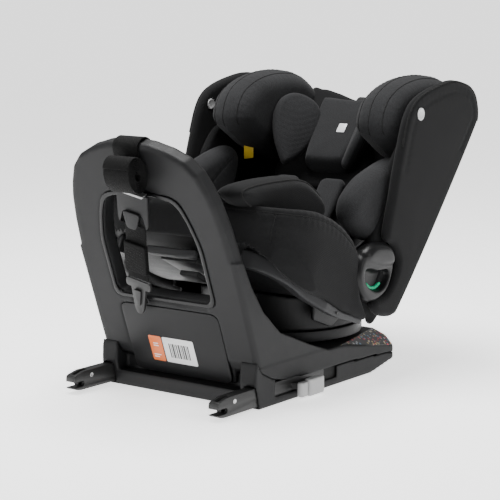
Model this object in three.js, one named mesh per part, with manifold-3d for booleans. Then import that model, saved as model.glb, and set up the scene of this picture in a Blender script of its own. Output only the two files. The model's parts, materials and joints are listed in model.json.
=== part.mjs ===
// A turning child seat on an ISOFIX base, in its rearward-facing, reclined position.
// Millimetres, +Z up. The origin is on the turning axis at the plane the base stands on.
// -Y points at the vehicle's backrest, where the ISOFIX arms and the rebound panel are.
import * as THREE from 'three';
import { mergeVertices } from 'three/addons/utils/BufferGeometryUtils.js';
import Module from 'manifold-3d';

const wasm = await Module();
wasm.setup();

// ---- driving dimensions ----
const GAP = 0.4;                    // clearance between neighbouring pieces
const BASE_HALF = 152;              // half width of the base
const TOWER_INNER = 121;            // inner face of each ISOFIX tower
const FRONT_Y = -272;               // face of the towers at the vehicle's backrest
const RIM_Y = 140;                  // rim of the base under the child's back
const DECK_Z = 60;                  // top of the base under the turntable
const WALL = 4;                     // base mouldings
const CHEEK_INNER = 138;            // inner face of the cheeks that join the deck to the panel
const PANEL_FOOT = { y: -268, z: 75 };
const PANEL_LEAN = Math.atan(0.36);
const PANEL_THICK = 28;
const ARM_X = 140;                  // half of the 280 mm between ISOFIX anchorages
const ARM_HALF = 9;
const ARM_Z = { low: 4.4, high: 33 };
const ARM_TIP_Y = -357;
const TURNTABLE_R = 134;
const TURNTABLE_Z = { low: 65, high: 82 };
const PIVOT = { y: -54, z: 377 };   // the recline turns about this line
const RAIL_R = 241;                 // top of the cradle rails, about the pivot
const PAN_R = 239.4;                // underside of the seat pan
const PAN_THICK = 9;
const SEAT_HALF = 210;              // half width over the seat's sides
const WING_HALF = 217;              // half width over the wings
const BACK_TILT = THREE.MathUtils.degToRad(40);
const SEAT_TILT = THREE.MathUtils.degToRad(27.5);
const HEEL = { y: -23.5, z: 89.7 }; // where the seat's and the back's outer lines meet
const BACK_D = -18;                 // rear face of the backrest, along the back's normal
const WEBBING = { wide: 38, thick: 2.2 };

const SIDES = { left: -1, right: 1 };

// ---- materials ----
const finish = (color, roughness, metalness = 0) =>
  () => new THREE.MeshStandardMaterial({ color, roughness, metalness });
const basePlastic = finish(0x3d3e41, 0.55);
const darkPlastic = finish(0x17181a, 0.5);
const greyPlastic = finish(0x5b5c60, 0.5);
const lightPlastic = finish(0xb5b5b5, 0.45);
const redPlastic = finish(0xa32020, 0.4);
const steel = finish(0x2c2d2f, 0.35, 0.9);
const fabric = finish(0x222326, 0.95);
const melange = finish(0x4a4b4f, 0.95);
const webbing = finish(0x151517, 0.9);

const group = new THREE.Group();

function place(parent, name, geometry, material) {
  const mesh = new THREE.Mesh(geometry, material());
  mesh.name = name;
  parent.add(mesh);
  return mesh;
}

// ---- joins and cuts ----
function toSolid(geometry) {
  const bare = geometry.clone();
  bare.deleteAttribute('normal');
  bare.deleteAttribute('uv');
  const merged = mergeVertices(bare, 1e-4);
  return new wasm.Manifold(new wasm.Mesh({
    numProp: 3,
    vertProperties: new Float32Array(merged.attributes.position.array),
    triVerts: new Uint32Array(merged.index.array),
  }));
}

function toGeometry(solid) {
  const mesh = solid.getMesh();
  const geometry = new THREE.BufferGeometry();
  geometry.setAttribute('position', new THREE.BufferAttribute(mesh.vertProperties, 3));
  geometry.setIndex(new THREE.BufferAttribute(mesh.triVerts, 1));
  geometry.computeVertexNormals();
  return geometry;
}

const joined = (first, ...more) =>
  toGeometry(more.reduce((solid, next) => solid.add(toSolid(next)), toSolid(first)));
const cut = (first, ...tools) =>
  toGeometry(tools.reduce((solid, tool) => solid.subtract(toSolid(tool)), toSolid(first)));
const common = (first, second) => toGeometry(toSolid(first).intersect(toSolid(second)));

// ---- outlines and slabs ----
const outline = (points) => new THREE.Shape(points.map(([u, v]) => new THREE.Vector2(u, v)));

// the same outline with every corner rounded by an arc-like curve
function softened(points, radius, steps = 3) {
  const corners = points.map(([u, v]) => new THREE.Vector2(u, v));
  const shape = new THREE.Shape();
  corners.forEach((corner, i) => {
    const before = corners[(i + corners.length - 1) % corners.length];
    const after = corners[(i + 1) % corners.length];
    const cutBack = Math.min(radius, corner.distanceTo(before) / 2.05, corner.distanceTo(after) / 2.05);
    const start = corner.clone().add(before.clone().sub(corner).setLength(cutBack));
    const end = corner.clone().add(after.clone().sub(corner).setLength(cutBack));
    const curve = new THREE.QuadraticBezierCurve(start, corner, end);
    const rounded = curve.getPoints(steps);
    rounded.forEach((p, k) => (i === 0 && k === 0 ? shape.moveTo(p.x, p.y) : shape.lineTo(p.x, p.y)));
  });
  return shape;
}

// the outline and its mirror image in the first coordinate, as one closed ring
const mirrored = (points) =>
  [...points, ...points.filter(([u]) => u > 0.01).reverse().map(([u, v]) => [-u, v])];

function extruded(shape, depth, bevel = 0) {
  return new THREE.ExtrudeGeometry(shape, bevel
    ? { depth: depth - 2 * bevel, bevelEnabled: true, bevelSize: bevel, bevelThickness: bevel,
        bevelOffset: -bevel, bevelSegments: 1, curveSegments: 4 }
    : { depth, bevelEnabled: false, curveSegments: 4 }).translate(0, 0, bevel);
}

const ALONG_X = new THREE.Matrix4().makeBasis(
  new THREE.Vector3(0, 1, 0), new THREE.Vector3(0, 0, 1), new THREE.Vector3(1, 0, 0));
const ALONG_Y = new THREE.Matrix4().makeBasis(
  new THREE.Vector3(1, 0, 0), new THREE.Vector3(0, 0, 1), new THREE.Vector3(0, -1, 0));

// shape in (y, z), solid from x0 to x1
const slabX = (shape, x0, x1, bevel) =>
  extruded(shape, x1 - x0, bevel).translate(0, 0, x0).applyMatrix4(ALONG_X);
// shape in (x, z), solid from y0 to y1
const slabY = (shape, y0, y1, bevel) =>
  extruded(shape, y1 - y0, bevel).translate(0, 0, -y1).applyMatrix4(ALONG_Y);
// shape in (x, y), solid from z0 to z1
const slabZ = (shape, z0, z1, bevel) => extruded(shape, z1 - z0, bevel).translate(0, 0, z0);

const block = (x0, x1, y0, y1, z0, z1) =>
  new THREE.BoxGeometry(x1 - x0, y1 - y0, z1 - z0)
    .translate((x0 + x1) / 2, (y0 + y1) / 2, (z0 + z1) / 2);
const roundX = (r, x0, x1, y, z, sides = 20) =>
  new THREE.CylinderGeometry(r, r, x1 - x0, sides).rotateZ(Math.PI / 2).translate((x0 + x1) / 2, y, z);
const roundZ = (r, z0, z1, x = 0, y = 0, sides = 40) =>
  new THREE.CylinderGeometry(r, r, z1 - z0, sides).rotateX(Math.PI / 2).translate(x, y, (z0 + z1) / 2);

// an arc about the recline pivot, as points in (y, z); the angle is measured forward from straight down
function pivotArc(radius, from, to, steps) {
  return Array.from({ length: steps + 1 }, (_, i) => {
    const a = THREE.MathUtils.degToRad(from + (to - from) * i / steps);
    return [PIVOT.y - radius * Math.sin(a), PIVOT.z - radius * Math.cos(a)];
  });
}

// a padded block: a box whose faces swell, with half sizes a, b, c and a shape power
function padded(a, b, c, power = 3.2, around = 6) {
  const geometry = new THREE.BoxGeometry(2, 2, 2, around, around, around);
  const p = geometry.attributes.position;
  const v = new THREE.Vector3();
  for (let i = 0; i < p.count; i += 1) {
    v.fromBufferAttribute(p, i);
    const reach = (Math.abs(v.x) ** power + Math.abs(v.y) ** power + Math.abs(v.z) ** power) ** (1 / power);
    v.divideScalar(reach);
    p.setXYZ(i, v.x * a, v.y * b, v.z * c);
  }
  return geometry;
}

// moves a geometry with a turn about each axis, in degrees, then a shift
function set(geometry, { turn = [0, 0, 0], at = [0, 0, 0] }) {
  const [x, y, z] = turn.map(THREE.MathUtils.degToRad);
  return geometry.applyMatrix4(new THREE.Matrix4().makeRotationFromEuler(new THREE.Euler(x, y, z)))
    .translate(...at);
}

// ---- base ----
// seam between the tray and the shell, as (y, z) points along the base's side
const SEAM = [[FRONT_Y + 4, 72], [-256, 54], [-230, 41], [-202, 34], [-131, 29], [-39, 30], [60, 26],
  [RIM_Y - 15, 22]];
const rimBow = () => {
  const arc = new THREE.EllipseCurve(0, RIM_Y - 62, BASE_HALF + 22, 62, Math.PI * 0.16, Math.PI * 0.84);
  return arc.getPoints(12).map((p) => [p.x, p.y]);
};
const basePlan = () => outline([[-BASE_HALF, FRONT_Y], [BASE_HALF, FRONT_Y], ...rimBow()]);
const armTunnel = (side, clear = 1) =>
  block(side * ARM_X - ARM_HALF - clear, side * ARM_X + ARM_HALF + clear, FRONT_Y - 5, 60,
    ARM_Z.low - clear, ARM_Z.high + clear);

// everything the tray may fill, grown by a clearance at its top and in the bay between the towers
function trayEnvelope(gap) {
  const profile = outline([[FRONT_Y + 10, -gap], [45, -gap], [115, 14 - gap], [RIM_Y + 14, 20 - gap],
    ...[...SEAM].reverse().map(([y, z]) => [y, z + gap]), [FRONT_Y + 1, 38 + gap]]);
  const body = common(slabX(profile, -BASE_HALF - gap, BASE_HALF + gap), slabZ(basePlan(), -5, 200));
  const inner = TOWER_INNER - gap;
  return cut(body, block(-inner, inner, FRONT_Y - 5, -244 - gap, 24 + gap, 120));
}

function baseTray() {
  const hollow = block(-TOWER_INNER + 3, TOWER_INNER - 3, -236, 92, WALL + 12, 120);
  const gripSlot = (side) => slabX(outline([[-221, 12], [-58, 12], [-58, 60], [-221, 60]]),
    side > 0 ? 148 : -160, side > 0 ? 160 : -148);
  return cut(trayEnvelope(0), hollow, armTunnel(1), armTunnel(-1), gripSlot(1), gripSlot(-1));
}

// the side of the deck, cheek and tower cap, as a (y, z) outline above the seam
const deckSide = () => [...SEAM.map(([y, z]) => [y, z + GAP]), [RIM_Y + 12, 22], [RIM_Y + 12, 26],
  [118, 48], [104, DECK_Z]];
const cheekEdge = [[-80, 60], [-130, 77], [-209, 109], [-251, 147], [-280, 189], [-300, 226]];
const panelFace = (z, inward = 0) => PANEL_FOOT.y - (z - PANEL_FOOT.z) * Math.tan(PANEL_LEAN) + inward;

function deck() {
  const profile = outline([...deckSide(), [-236, DECK_Z], [-236, 66], [FRONT_Y + 4, 74]]);
  const body = common(slabX(profile, -BASE_HALF, BASE_HALF), slabZ(basePlan(), -1, 200));
  const under = block(-TOWER_INNER + 3, TOWER_INNER - 3, -230, 90, 0, DECK_Z - WALL);
  return cut(body, under, roundZ(26, 0, 100), deckSlope(1), deckSlope(-1));
}

// the slope that widens along each side of the deck, from the middle of its side to its rim
const SLOPE = { from: -60, to: RIM_Y + 15, low: 27, inner: 100 };
function deckSlope(side) {
  const edge = side * (BASE_HALF + 1);
  const top = DECK_Z + 1;
  return toGeometry(wasm.Manifold.hull([[edge, SLOPE.from, top], [edge, SLOPE.to, top],
    [edge, SLOPE.to, SLOPE.low], [side * SLOPE.inner, SLOPE.to, top]]));
}

function cheek(side) {
  const profile = outline([[-60, DECK_Z - 1], ...cheekEdge, [panelFace(226), 226],
    [panelFace(60), 60]]);
  const [x0, x1] = side > 0 ? [CHEEK_INNER, BASE_HALF + 1] : [-BASE_HALF - 1, -CHEEK_INNER];
  return slabX(profile, x0, x1);
}

// half widths of the panel against the height along it, up from its foot
const PANEL_HALF = [[157, -14], [158, 28], [153, 82], [149, 155], [144, 210], [138, 246], [131, 271],
  [119, 300], [100, 321], [73, 335], [38, 345.5], [0, 348.6]];
const openingShape = (grow = 0) => softened(mirrored(
  [[0, 87 - grow], [92 + grow, 87 - grow], [92 + grow, 181], [80 + grow, 226],
    [66 + grow, 252 + grow], [30, 259 + grow], [0, 260 + grow]]), 16, 4);
const coverShape = (grow = 0) => softened(
  [[-95 - grow, -50 - grow], [95 + grow, -50 - grow], [95 + grow, 69 + grow],
    [-95 - grow, 69 + grow]], 14, 3);

function panel() {
  const plate = slabY(outline(mirrored(PANEL_HALF)), 0, PANEL_THICK, 5);
  return cut(plate, slabY(openingShape(), -5, PANEL_THICK + 5),
    slabY(coverShape(GAP), -5, 5), slabY(openingShape(7), -1, 3));
}

const toPanel = (geometry) => geometry.rotateX(PANEL_LEAN).translate(0, PANEL_FOOT.y, PANEL_FOOT.z);

function baseShell() {
  const foot = toPanel(slabY(softened([[-100, -52], [100, -52], [100, -10], [-100, -10]], 8),
    5, PANEL_THICK - 4));
  const hookSlot = toPanel(block(-66, -38, -6, 14, 71, 80));
  return cut(joined(deck(), cheek(1), cheek(-1), toPanel(panel()), foot),
    trayEnvelope(GAP), armTunnel(1), armTunnel(-1), hookSlot, toPanel(slabY(coverShape(GAP), -12, 5)));
}

// ---- the panel's fittings ----
function bezel() {
  return cut(slabY(openingShape(6), -1.6, 2.5), slabY(openingShape(0), -3, 4));
}

// the tether webbing: from its anchor behind the panel, over the rim, to the roll
function tetherUpper() {
  const rim = 348.8;
  const loop = outline([[33, 310], [33, rim + 3.4], [-3, rim + 3.4], [-9, 334], [-11, 334],
    [-4.4, rim + 5.6],
    [35.2, rim + 5.6], [35.2, 310]]);
  return slabX(loop, -24, 24);
}
const tetherRoll = () => roundX(22.5, -28, 48, -26, 302, 24);
const TETHER_LEAN = THREE.MathUtils.degToRad(13);
const leaned = (geometry) => geometry.rotateY(TETHER_LEAN).translate(-3, -9, 242);
function tetherAdjuster() {
  const plate = slabY(softened([[-29, -26], [29, -26], [29, 26], [-29, 26]], 8), -7, 2, 1.2);
  return cut(plate, block(-22, 22, -20, 20, -19, -12), block(-22, 22, -20, 20, 5, 12));
}
const adjusterTab = () => slabY(softened([[-16, -2], [16, -2], [9, -30], [-9, -30]], 6), -12, -8, 0.8);
const tetherLower = () => slabY(outline([[-19, -122], [19, -122], [19, -27], [-19, -27]]), -4, -1);
function tetherHook() {
  const eye = slabY(softened([[-23, -139], [23, -139], [23, -124], [-23, -124]], 5), -5, 0.4);
  const shank = slabY(softened([[-14, -136], [14, -136], [8, -178], [2, -186], [-6, -184],
    [-10, -170]], 5), -5, 0.4);
  return joined(eye, shank);
}
const hookGate = () => slabY(softened([[-7, -140], [7, -140], [4, -168], [-2, -168]], 3), -9, -5.5);

// ---- ISOFIX arms ----
function isofixArm(side) {
  const x0 = side * ARM_X - ARM_HALF;
  const x1 = side * ARM_X + ARM_HALF;
  const side2d = softened([[ARM_TIP_Y, 7], [ARM_TIP_Y, ARM_Z.high - 5], [ARM_TIP_Y + 22, ARM_Z.high],
    [-90, ARM_Z.high], [-90, ARM_Z.low], [ARM_TIP_Y + 14, ARM_Z.low]], 5);
  const jaw = softened([[ARM_TIP_Y - 5, 9.5], [ARM_TIP_Y - 5, 18.5], [-337, 18.5], [-334, 14],
    [-337, 9.5]], 2);
  const bay = block(side * ARM_X - 3.5, side * ARM_X + 3.5, -351, -322, 9.5, 40);
  const neck = block(side > 0 ? x1 - 1 : -161, side > 0 ? 161 : x0 + 1, -176, -124, 16, 24.6);
  return cut(joined(slabX(side2d, x0, x1), neck), slabX(jaw, x0 - 1, x1 + 1), bay);
}
// the latch: a hook that closes the jaw from above, turning about a pin over the jaw's inner end
const LATCH_PIN = { y: -330, z: 25 };
function isofixLatch(side) {
  const { y, z } = LATCH_PIN;
  const hook = softened([[y + 4, z - 4], [y + 4, z + 4], [y - 14, z + 2], [y - 16, z - 13],
    [y - 11.5, z - 13], [y - 9.5, z - 4.5]], 2, 2);
  return slabX(hook, side * ARM_X - 2.9, side * ARM_X + 2.9);
}
function isofixGrip(side) {
  const shape = softened([[-161.8, 0.6], [-121, 0.6], [-121, 31], [-161.8, 31]], 8);
  return side > 0 ? slabX(shape, 161.3, 174, 2) : slabX(shape, -174, -161.3, 2);
}
function isofixTrigger(side) {
  const shape = softened([[-181, 2.6], [-163.4, 2.6], [-163.4, 29], [-181, 29]], 6);
  return side > 0 ? slabX(shape, 161.3, 172.5, 2) : slabX(shape, -172.5, -161.3, 2);
}

// ---- turntable ----
function turntable() {
  const ring = roundZ(TURNTABLE_R, TURNTABLE_Z.low, TURNTABLE_Z.high, 0, 0, 64);
  return joined(ring, roundZ(25, DECK_Z - 6, TURNTABLE_Z.low + 2));
}
const bearingRing = () => cut(roundZ(118, DECK_Z + GAP, TURNTABLE_Z.low - GAP, 0, 0, 48),
  roundZ(102, 0, 100, 0, 0, 48));
// a curved rail whose top is an arc about the recline pivot
const RAIL_SPAN = [-21, 18];
function cradleRail(side) {
  const arc = pivotArc(RAIL_R, ...RAIL_SPAN, 14);
  const ends = [[arc.at(-1)[0], TURNTABLE_Z.high + GAP], [arc[0][0], TURNTABLE_Z.high + GAP]];
  return slabX(outline([...arc, ...ends]), side > 0 ? 88 : -112, side > 0 ? 112 : -88);
}

// ---- seat shell ----
const seatPt = (f, h) => [HEEL.y - f * Math.cos(SEAT_TILT) + h * Math.sin(SEAT_TILT),
  HEEL.z + f * Math.sin(SEAT_TILT) + h * Math.cos(SEAT_TILT)];
const backPt = (s, d) => [HEEL.y + s * Math.sin(BACK_TILT) - d * Math.cos(BACK_TILT),
  HEEL.z + s * Math.cos(BACK_TILT) + d * Math.sin(BACK_TILT)];
const seatPts = (points) => points.map(([f, h]) => seatPt(f, h));
const backPts = (points) => points.map(([s, d]) => backPt(s, d));

// the space the seat may sweep inside the rebound panel and the cheeks, turned about the origin
const SWEPT = [[0, 20], [150, 20], [150, 84], [186, 84], [212, 90], [222, 96], [246, 109],
  [262, 147], [283, 188],
  [295, 216], [304, 250], [314, 300], [330, 350], [346, 400], [360, 560], [0, 560]];
const sweptSpace = () =>
  new THREE.LatheGeometry(SWEPT.map(([r, z]) => new THREE.Vector2(r, z)), 72).rotateX(Math.PI / 2);
const withinSweep = (geometry) => common(geometry, sweptSpace());

function seatPan() {
  const arc = [...pivotArc(PAN_R, -31, 60, 24), ...pivotArc(PAN_R - PAN_THICK, -31, 60, 24).reverse()];
  const back = backPts([[112, BACK_D], [428, BACK_D], [428, BACK_D + PAN_THICK],
    [112, BACK_D + PAN_THICK]]);
  const wall = [...seatPts([[20, -13], [104, -22], [205, -19], [262, -7], [286, 42], [284, 78],
    [240, 92], [178, 88], [128, 74], [98, 48]]),
    ...backPts([[150, 36], [222, 34], [234, BACK_D + 2], [112, BACK_D + 1], [52, -13]])];
  const walls = [1, -1].map((side) => slabX(softened(wall, 6, 2),
    side > 0 ? 143 : -149, side > 0 ? 149 : -143));
  return joined(slabX(outline(arc), -149, 149), slabX(outline(back), -149, 149), ...walls);
}

const SIDE_UNDER = [[24, -1], [104, -9.5], [205, -7], [262, 5]];
function seatSide(side) {
  const rim = [[292, 60], [286, 88], [240, 103], [178, 108], [125, 98], [107, 80], [104, 62],
    [89, 35], [61, 21], [42, 8]];
  const shape = softened(seatPts([...SIDE_UNDER, ...rim]), 16);
  return withinSweep(side > 0 ? slabX(shape, 150, SEAT_HALF) : slabX(shape, -SEAT_HALF, -150));
}
function shellEdge(side) {
  const low = SIDE_UNDER.map(([f, h]) => [f - 2, h - 12.5]);
  const shape = outline(seatPts([...low, ...[...SIDE_UNDER].reverse().map(([f, h]) => [f, h - 0.6])]));
  return withinSweep(side > 0 ? slabX(shape, 149.5, 202) : slabX(shape, -202, -149.5));
}
function seatFront() {
  const shape = softened(seatPts([[297, 25], [311, 10], [325, 34], [330, 60], [322, 82], [301, 88],
    [297, 84]]), 7);
  return withinSweep(slabX(shape, -149, 149));
}

const WING = [[4, 2], [60, -14], [205, -18], [428, -15], [446, 4], [444, 41], [418, 95], [371, 142],
  [341, 165], [314, 171],
  [261, 159], [223, 145], [187, 128], [147, 113], [116, 101], [121, 60], [110, 31], [78, 21],
    [36, 30], [16, 46], [4, 24]];
function wing(side) {
  const shape = softened(backPts(WING), 10);
  return withinSweep(side > 0 ? slabX(shape, 194, WING_HALF, 5) : slabX(shape, -WING_HALF, -194, 5));
}
// the scoop that holds the vehicle's lap belt, with a pocket open to the front
function beltGuide(side) {
  const shape = softened(backPts([[103, 86], [110, 60], [103, 37], [76, 29], [35, 38], [15, 61],
    [20, 89], [38, 107], [72, 101]]), 9);
  const pocket = softened(backPts([[92, 120], [96, 60], [78, 44], [50, 50], [40, 78], [52, 120]]), 8);
  const [x0, x1] = side > 0 ? [187, 214] : [-214, -187];
  const [p0, p1] = side > 0 ? [196, 220] : [-220, -196];
  return withinSweep(cut(slabX(shape, x0, x1), slabX(pocket, p0, p1)));
}

// the bucket between the shell's walls: cushions set against the pan and the back
const onSeat = (geometry, f, h, x = 0, lean = 0, yaw = 0) => {
  const [y, z] = seatPt(f, h);
  return set(geometry, { turn: [-27.5 + lean, yaw, 0], at: [x, y, z] });
};
const onBack = (geometry, s, d, x = 0, lean = 0, yaw = 0) => {
  const [y, z] = backPt(s, d);
  return geometry.rotateZ(THREE.MathUtils.degToRad(yaw))
    .rotateX(-BACK_TILT + THREE.MathUtils.degToRad(lean)).translate(x, y, z);
};

const seatCushion = () => slabX(outline([...pivotArc(PAN_R - PAN_THICK - 1, 4, 50, 12),
  ...pivotArc(PAN_R - PAN_THICK - 27, 4, 49, 12).reverse()]), -86, 86);
const backCushion = () => slabX(outline([...pivotArc(PAN_R - PAN_THICK - 1, -28, 2, 8).reverse(),
  ...backPts([[150, -6], [232, -6], [232, 26], [150, 32]]), ...pivotArc(PAN_R - PAN_THICK - 27, -12,
    2, 4)]), -88, 88);
const thighBolster = (side) => withinSweep(set(padded(27, 78, 37, 3), { turn: [-4, 0, 0],
  at: [side * 114, -168, 298] }));
const torsoBolster = (side) => onBack(padded(21, 46, 64, 2.6), 179, 102, side * 168, -18);

// ---- harness ----
const shoulderPad = (side) => onBack(padded(24, 7, 60, 4, 4), 176, 52, side * 46, 4);
const hipStrap = (side) => {
  const strap = new THREE.BoxGeometry(WEBBING.thick, WEBBING.wide, 44);
  return onSeat(strap, 118, 84, side * 76, -20);
};
const crotchPad = () => onSeat(padded(27, 5, 28, 5, 4), 166, 69, 0, 12);
const buckleBody = () => onSeat(cut(slabY(softened([[-25, -22], [25, -22], [30, 10], [22, 28],
  [-22, 28], [-30, 10]], 8), -9, 9, 3),
  block(-11.5, 11.5, -12, -0.6, -16, 8)), 158, 121, 0, 12);
const buckleButton = () => onSeat(slabY(softened([[-11, -15.4], [11, -15.4], [11, 7.4], [-11, 7.4]],
  4), -11.5, -5.2, 1), 158, 121, 0, 12);
// the harness adjuster stands on the pan's front slope, square to the pivot's radius
const ADJUSTER_ANGLE = 55.5;
const onSlope = (geometry) => {
  const [[y, z]] = pivotArc(PAN_R - PAN_THICK - 7, ADJUSTER_ANGLE, ADJUSTER_ANGLE, 1);
  return set(geometry, { turn: [-ADJUSTER_ANGLE, 0, 0], at: [0, y, z] });
};
const adjusterHousing = () => onSlope(cut(new THREE.BoxGeometry(44, 24, 12),
  block(-9, 9, -8, 8, 1, 10)));
const adjusterButton = () => onSlope(block(-8.6, 8.6, -7.6, 7.6, 3.5, 8.2));

// ---- recline handle and swivel lever under the seat's front edge ----
const underSeat = (geometry, f, h) => set(geometry, { turn: [-27.5, 0, 0], at: [0, ...seatPt(f, h)] });
const handleGuide = () => underSeat(new THREE.BoxGeometry(70, 66, 9), 236, -0.4);
const reclineHandle = () => underSeat(joined(slabZ(softened([[-50, -8], [50, -8], [45, 9], [-45, 9]],
  6), -6, 6, 2),
  block(-18, 18, 7, 18.4, -3, 3)), 288, 1.5);
const swivelLever = () => underSeat(slabX(softened([[-12, -4], [16, -5], [16, 3], [-12, 4]], 2),
  -18, 18, 1), 224, -13);

// ---- headrest: a moulded carrier that slides on the back, with its cushions ----
function headrestFrame() {
  return slabX(outline(backPts([[243, -7.6], [452, -7.6], [452, -1.6], [243, -1.6]])), -116, 116);
}
const headrestCentre = () => onBack(padded(56, 26, 76, 5), 323, 26);
function headrestWing(side) {
  const crescent = [[248, 124], [247, 154], [254, 170], [282, 182], [315, 184], [358, 166],
    [400, 127], [432, 72], [440, 20], [438, 0],
    [300, 0], [272, 40], [256, 84]];
  const shape = softened(backPts(crescent), 22);
  return side > 0 ? slabX(shape, 122, 190) : slabX(shape, -190, -122);
}
const headrestInsert = (side) => onBack(padded(9, 36, 62, 2.4, 6), 320, 84, side * 89, 0, side * 41);
const headrestHandle = () => onBack(slabY(softened([[-34, -9], [34, -9], [30, 9], [-30, 9]], 6),
  -5, 5, 2), 440.5, -13.5, 0);

// the rear face of the backrest, behind the pan
const backCover = () => slabX(softened(backPts([[96, -27], [420, -30], [430, -19], [96, -18.6]]), 5),
  -193, 193);

// ---- assembly ----
const PARTS = [
  ['base_tray', baseTray, basePlastic],
  ['base_shell', baseShell, basePlastic],
  ['rear_cover', () => toPanel(slabY(coverShape(), 0.3, 4.5)), basePlastic],
  ['opening_bezel', () => toPanel(bezel()), darkPlastic],
  ['bearing_ring', bearingRing, steel],
  ['tether_strap_upper', () => toPanel(tetherUpper()), webbing],
  ['tether_roll', () => toPanel(tetherRoll()), webbing],
  ['tether_adjuster', () => toPanel(leaned(tetherAdjuster())), steel],
  ['adjuster_lever', () => toPanel(leaned(adjusterTab())), greyPlastic],
  ['tether_strap_lower', () => toPanel(leaned(tetherLower())), webbing],
  ['tether_hook', () => toPanel(leaned(tetherHook())), steel],
  ['hook_gate', () => toPanel(leaned(hookGate())), steel],
  ['turntable', turntable, darkPlastic],
  ['seat_pan', seatPan, darkPlastic],
  ['back_cover', backCover, darkPlastic],
  ['seat_front', seatFront, fabric],
  ['seat_cushion', seatCushion, melange],
  ['back_cushion', backCushion, melange],
  ['crotch_pad', crotchPad, fabric],
  ['buckle_body', buckleBody, darkPlastic],
  ['buckle_button', buckleButton, redPlastic],
  ['adjuster_housing', adjusterHousing, darkPlastic],
  ['adjuster_button', adjusterButton, greyPlastic],
  ['handle_guide', handleGuide, darkPlastic],
  ['recline_handle', reclineHandle, greyPlastic],
  ['swivel_lever', swivelLever, greyPlastic],
  ['headrest_frame', headrestFrame, darkPlastic],
  ['headrest_centre', headrestCentre, melange],
  ['headrest_handle', headrestHandle, darkPlastic],
];
const PAIRS = [
  ['isofix_arm', isofixArm, steel],
  ['isofix_latch', isofixLatch, steel],
  ['isofix_grip', isofixGrip, lightPlastic],
  ['isofix_trigger', isofixTrigger, lightPlastic],
  ['cradle_rail', cradleRail, steel],
  ['seat_side', seatSide, fabric],
  ['shell_edge', shellEdge, greyPlastic],
  ['wing', wing, fabric],
  ['belt_guide', beltGuide, greyPlastic],
  ['thigh_bolster', thighBolster, fabric],
  ['torso_bolster', torsoBolster, melange],
  ['shoulder_pad', shoulderPad, melange],
  ['hip_strap', hipStrap, webbing],
  ['headrest_wing', headrestWing, fabric],
  ['headrest_insert', headrestInsert, melange],
];
for (const [name, make, material] of PARTS) place(group, name, make(), material);
for (const [name, make, material] of PAIRS) {
  for (const [word, side] of Object.entries(SIDES)) place(group, `${name}_${word}`, make(side),
    material);
}

export default group;
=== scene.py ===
import json
import math

import bmesh
import bpy
import numpy as np
from mathutils import Matrix, Vector
from mathutils.bvhtree import BVHTree
from mathutils.geometry import delaunay_2d_cdt

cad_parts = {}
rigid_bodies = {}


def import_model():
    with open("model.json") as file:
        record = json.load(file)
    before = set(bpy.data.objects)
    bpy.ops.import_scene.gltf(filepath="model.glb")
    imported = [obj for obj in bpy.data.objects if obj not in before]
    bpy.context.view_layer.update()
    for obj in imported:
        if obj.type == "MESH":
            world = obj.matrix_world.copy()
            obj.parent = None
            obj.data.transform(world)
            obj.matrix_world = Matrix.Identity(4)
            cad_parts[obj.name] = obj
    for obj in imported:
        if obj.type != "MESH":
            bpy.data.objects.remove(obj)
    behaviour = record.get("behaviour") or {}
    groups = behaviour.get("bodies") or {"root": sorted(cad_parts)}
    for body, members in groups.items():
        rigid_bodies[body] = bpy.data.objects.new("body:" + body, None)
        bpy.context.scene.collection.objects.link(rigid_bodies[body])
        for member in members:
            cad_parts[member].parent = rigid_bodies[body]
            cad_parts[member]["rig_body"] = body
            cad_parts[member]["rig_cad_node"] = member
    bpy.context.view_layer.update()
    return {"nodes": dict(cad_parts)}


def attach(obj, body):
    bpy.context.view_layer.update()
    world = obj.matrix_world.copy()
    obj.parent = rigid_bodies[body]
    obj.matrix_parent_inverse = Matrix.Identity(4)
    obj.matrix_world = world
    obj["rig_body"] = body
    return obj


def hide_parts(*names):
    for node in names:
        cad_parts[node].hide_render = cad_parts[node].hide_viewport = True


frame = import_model()

# ---- driving dimensions, in millimetres and degrees ----
MM = 0.001
HEEL = (-23.5, 89.7)            # y, z where the seat's and the back's outer lines meet
BACK_TILT = math.radians(40)
SEAT_TILT = math.radians(27.5)
PANEL_FOOT = (-268.0, 75.0)     # y, z of the rebound panel's outer face at its foot
PANEL_LEAN = math.atan(0.36)
BASE_HALF = 152.0
ARM_MIDDLE = 140                # half of the standard spacing of the anchors
PAN_RADIUS = 230.0              # of the seat pan's inner face, round the recline line
SKIRT_HALF = 208.0
SKIRT_REAR = 42                 # along the seat: the skirt's rear end, the start of its corner and its front
SKIRT_CORNER = 205
SKIRT_NOSE = 330
PIVOT = (-54.0, 377.0)          # y, z of the line that the recline turns about
SIDES = {"left": -1, "right": 1}


# ---- the three frames that the pieces are drawn in; each takes arrays and gives world points ----
def on_back(x, s, d):
    """x across, s up the backrest, d forward of its rear face."""
    sin, cos = math.sin(BACK_TILT), math.cos(BACK_TILT)
    return np.stack(np.broadcast_arrays(x, HEEL[0] + s * sin - d * cos, HEEL[1] + s * cos + d * sin), -1)


def on_seat(x, f, h):
    """x across, f forward along the seat, h up from it."""
    sin, cos = math.sin(SEAT_TILT), math.cos(SEAT_TILT)
    return np.stack(np.broadcast_arrays(x, HEEL[0] - f * cos + h * sin, HEEL[1] + f * sin + h * cos), -1)


def on_panel(x, y, z):
    """x across, y inward from the panel's outer face, z up along it."""
    sin, cos = math.sin(PANEL_LEAN), math.cos(PANEL_LEAN)
    return np.stack(np.broadcast_arrays(x, PANEL_FOOT[0] + y * cos - z * sin,
                                        PANEL_FOOT[1] + y * sin + z * cos), -1)


def in_world(x, y, z):
    return np.stack(np.broadcast_arrays(x, y, z), -1)


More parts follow.
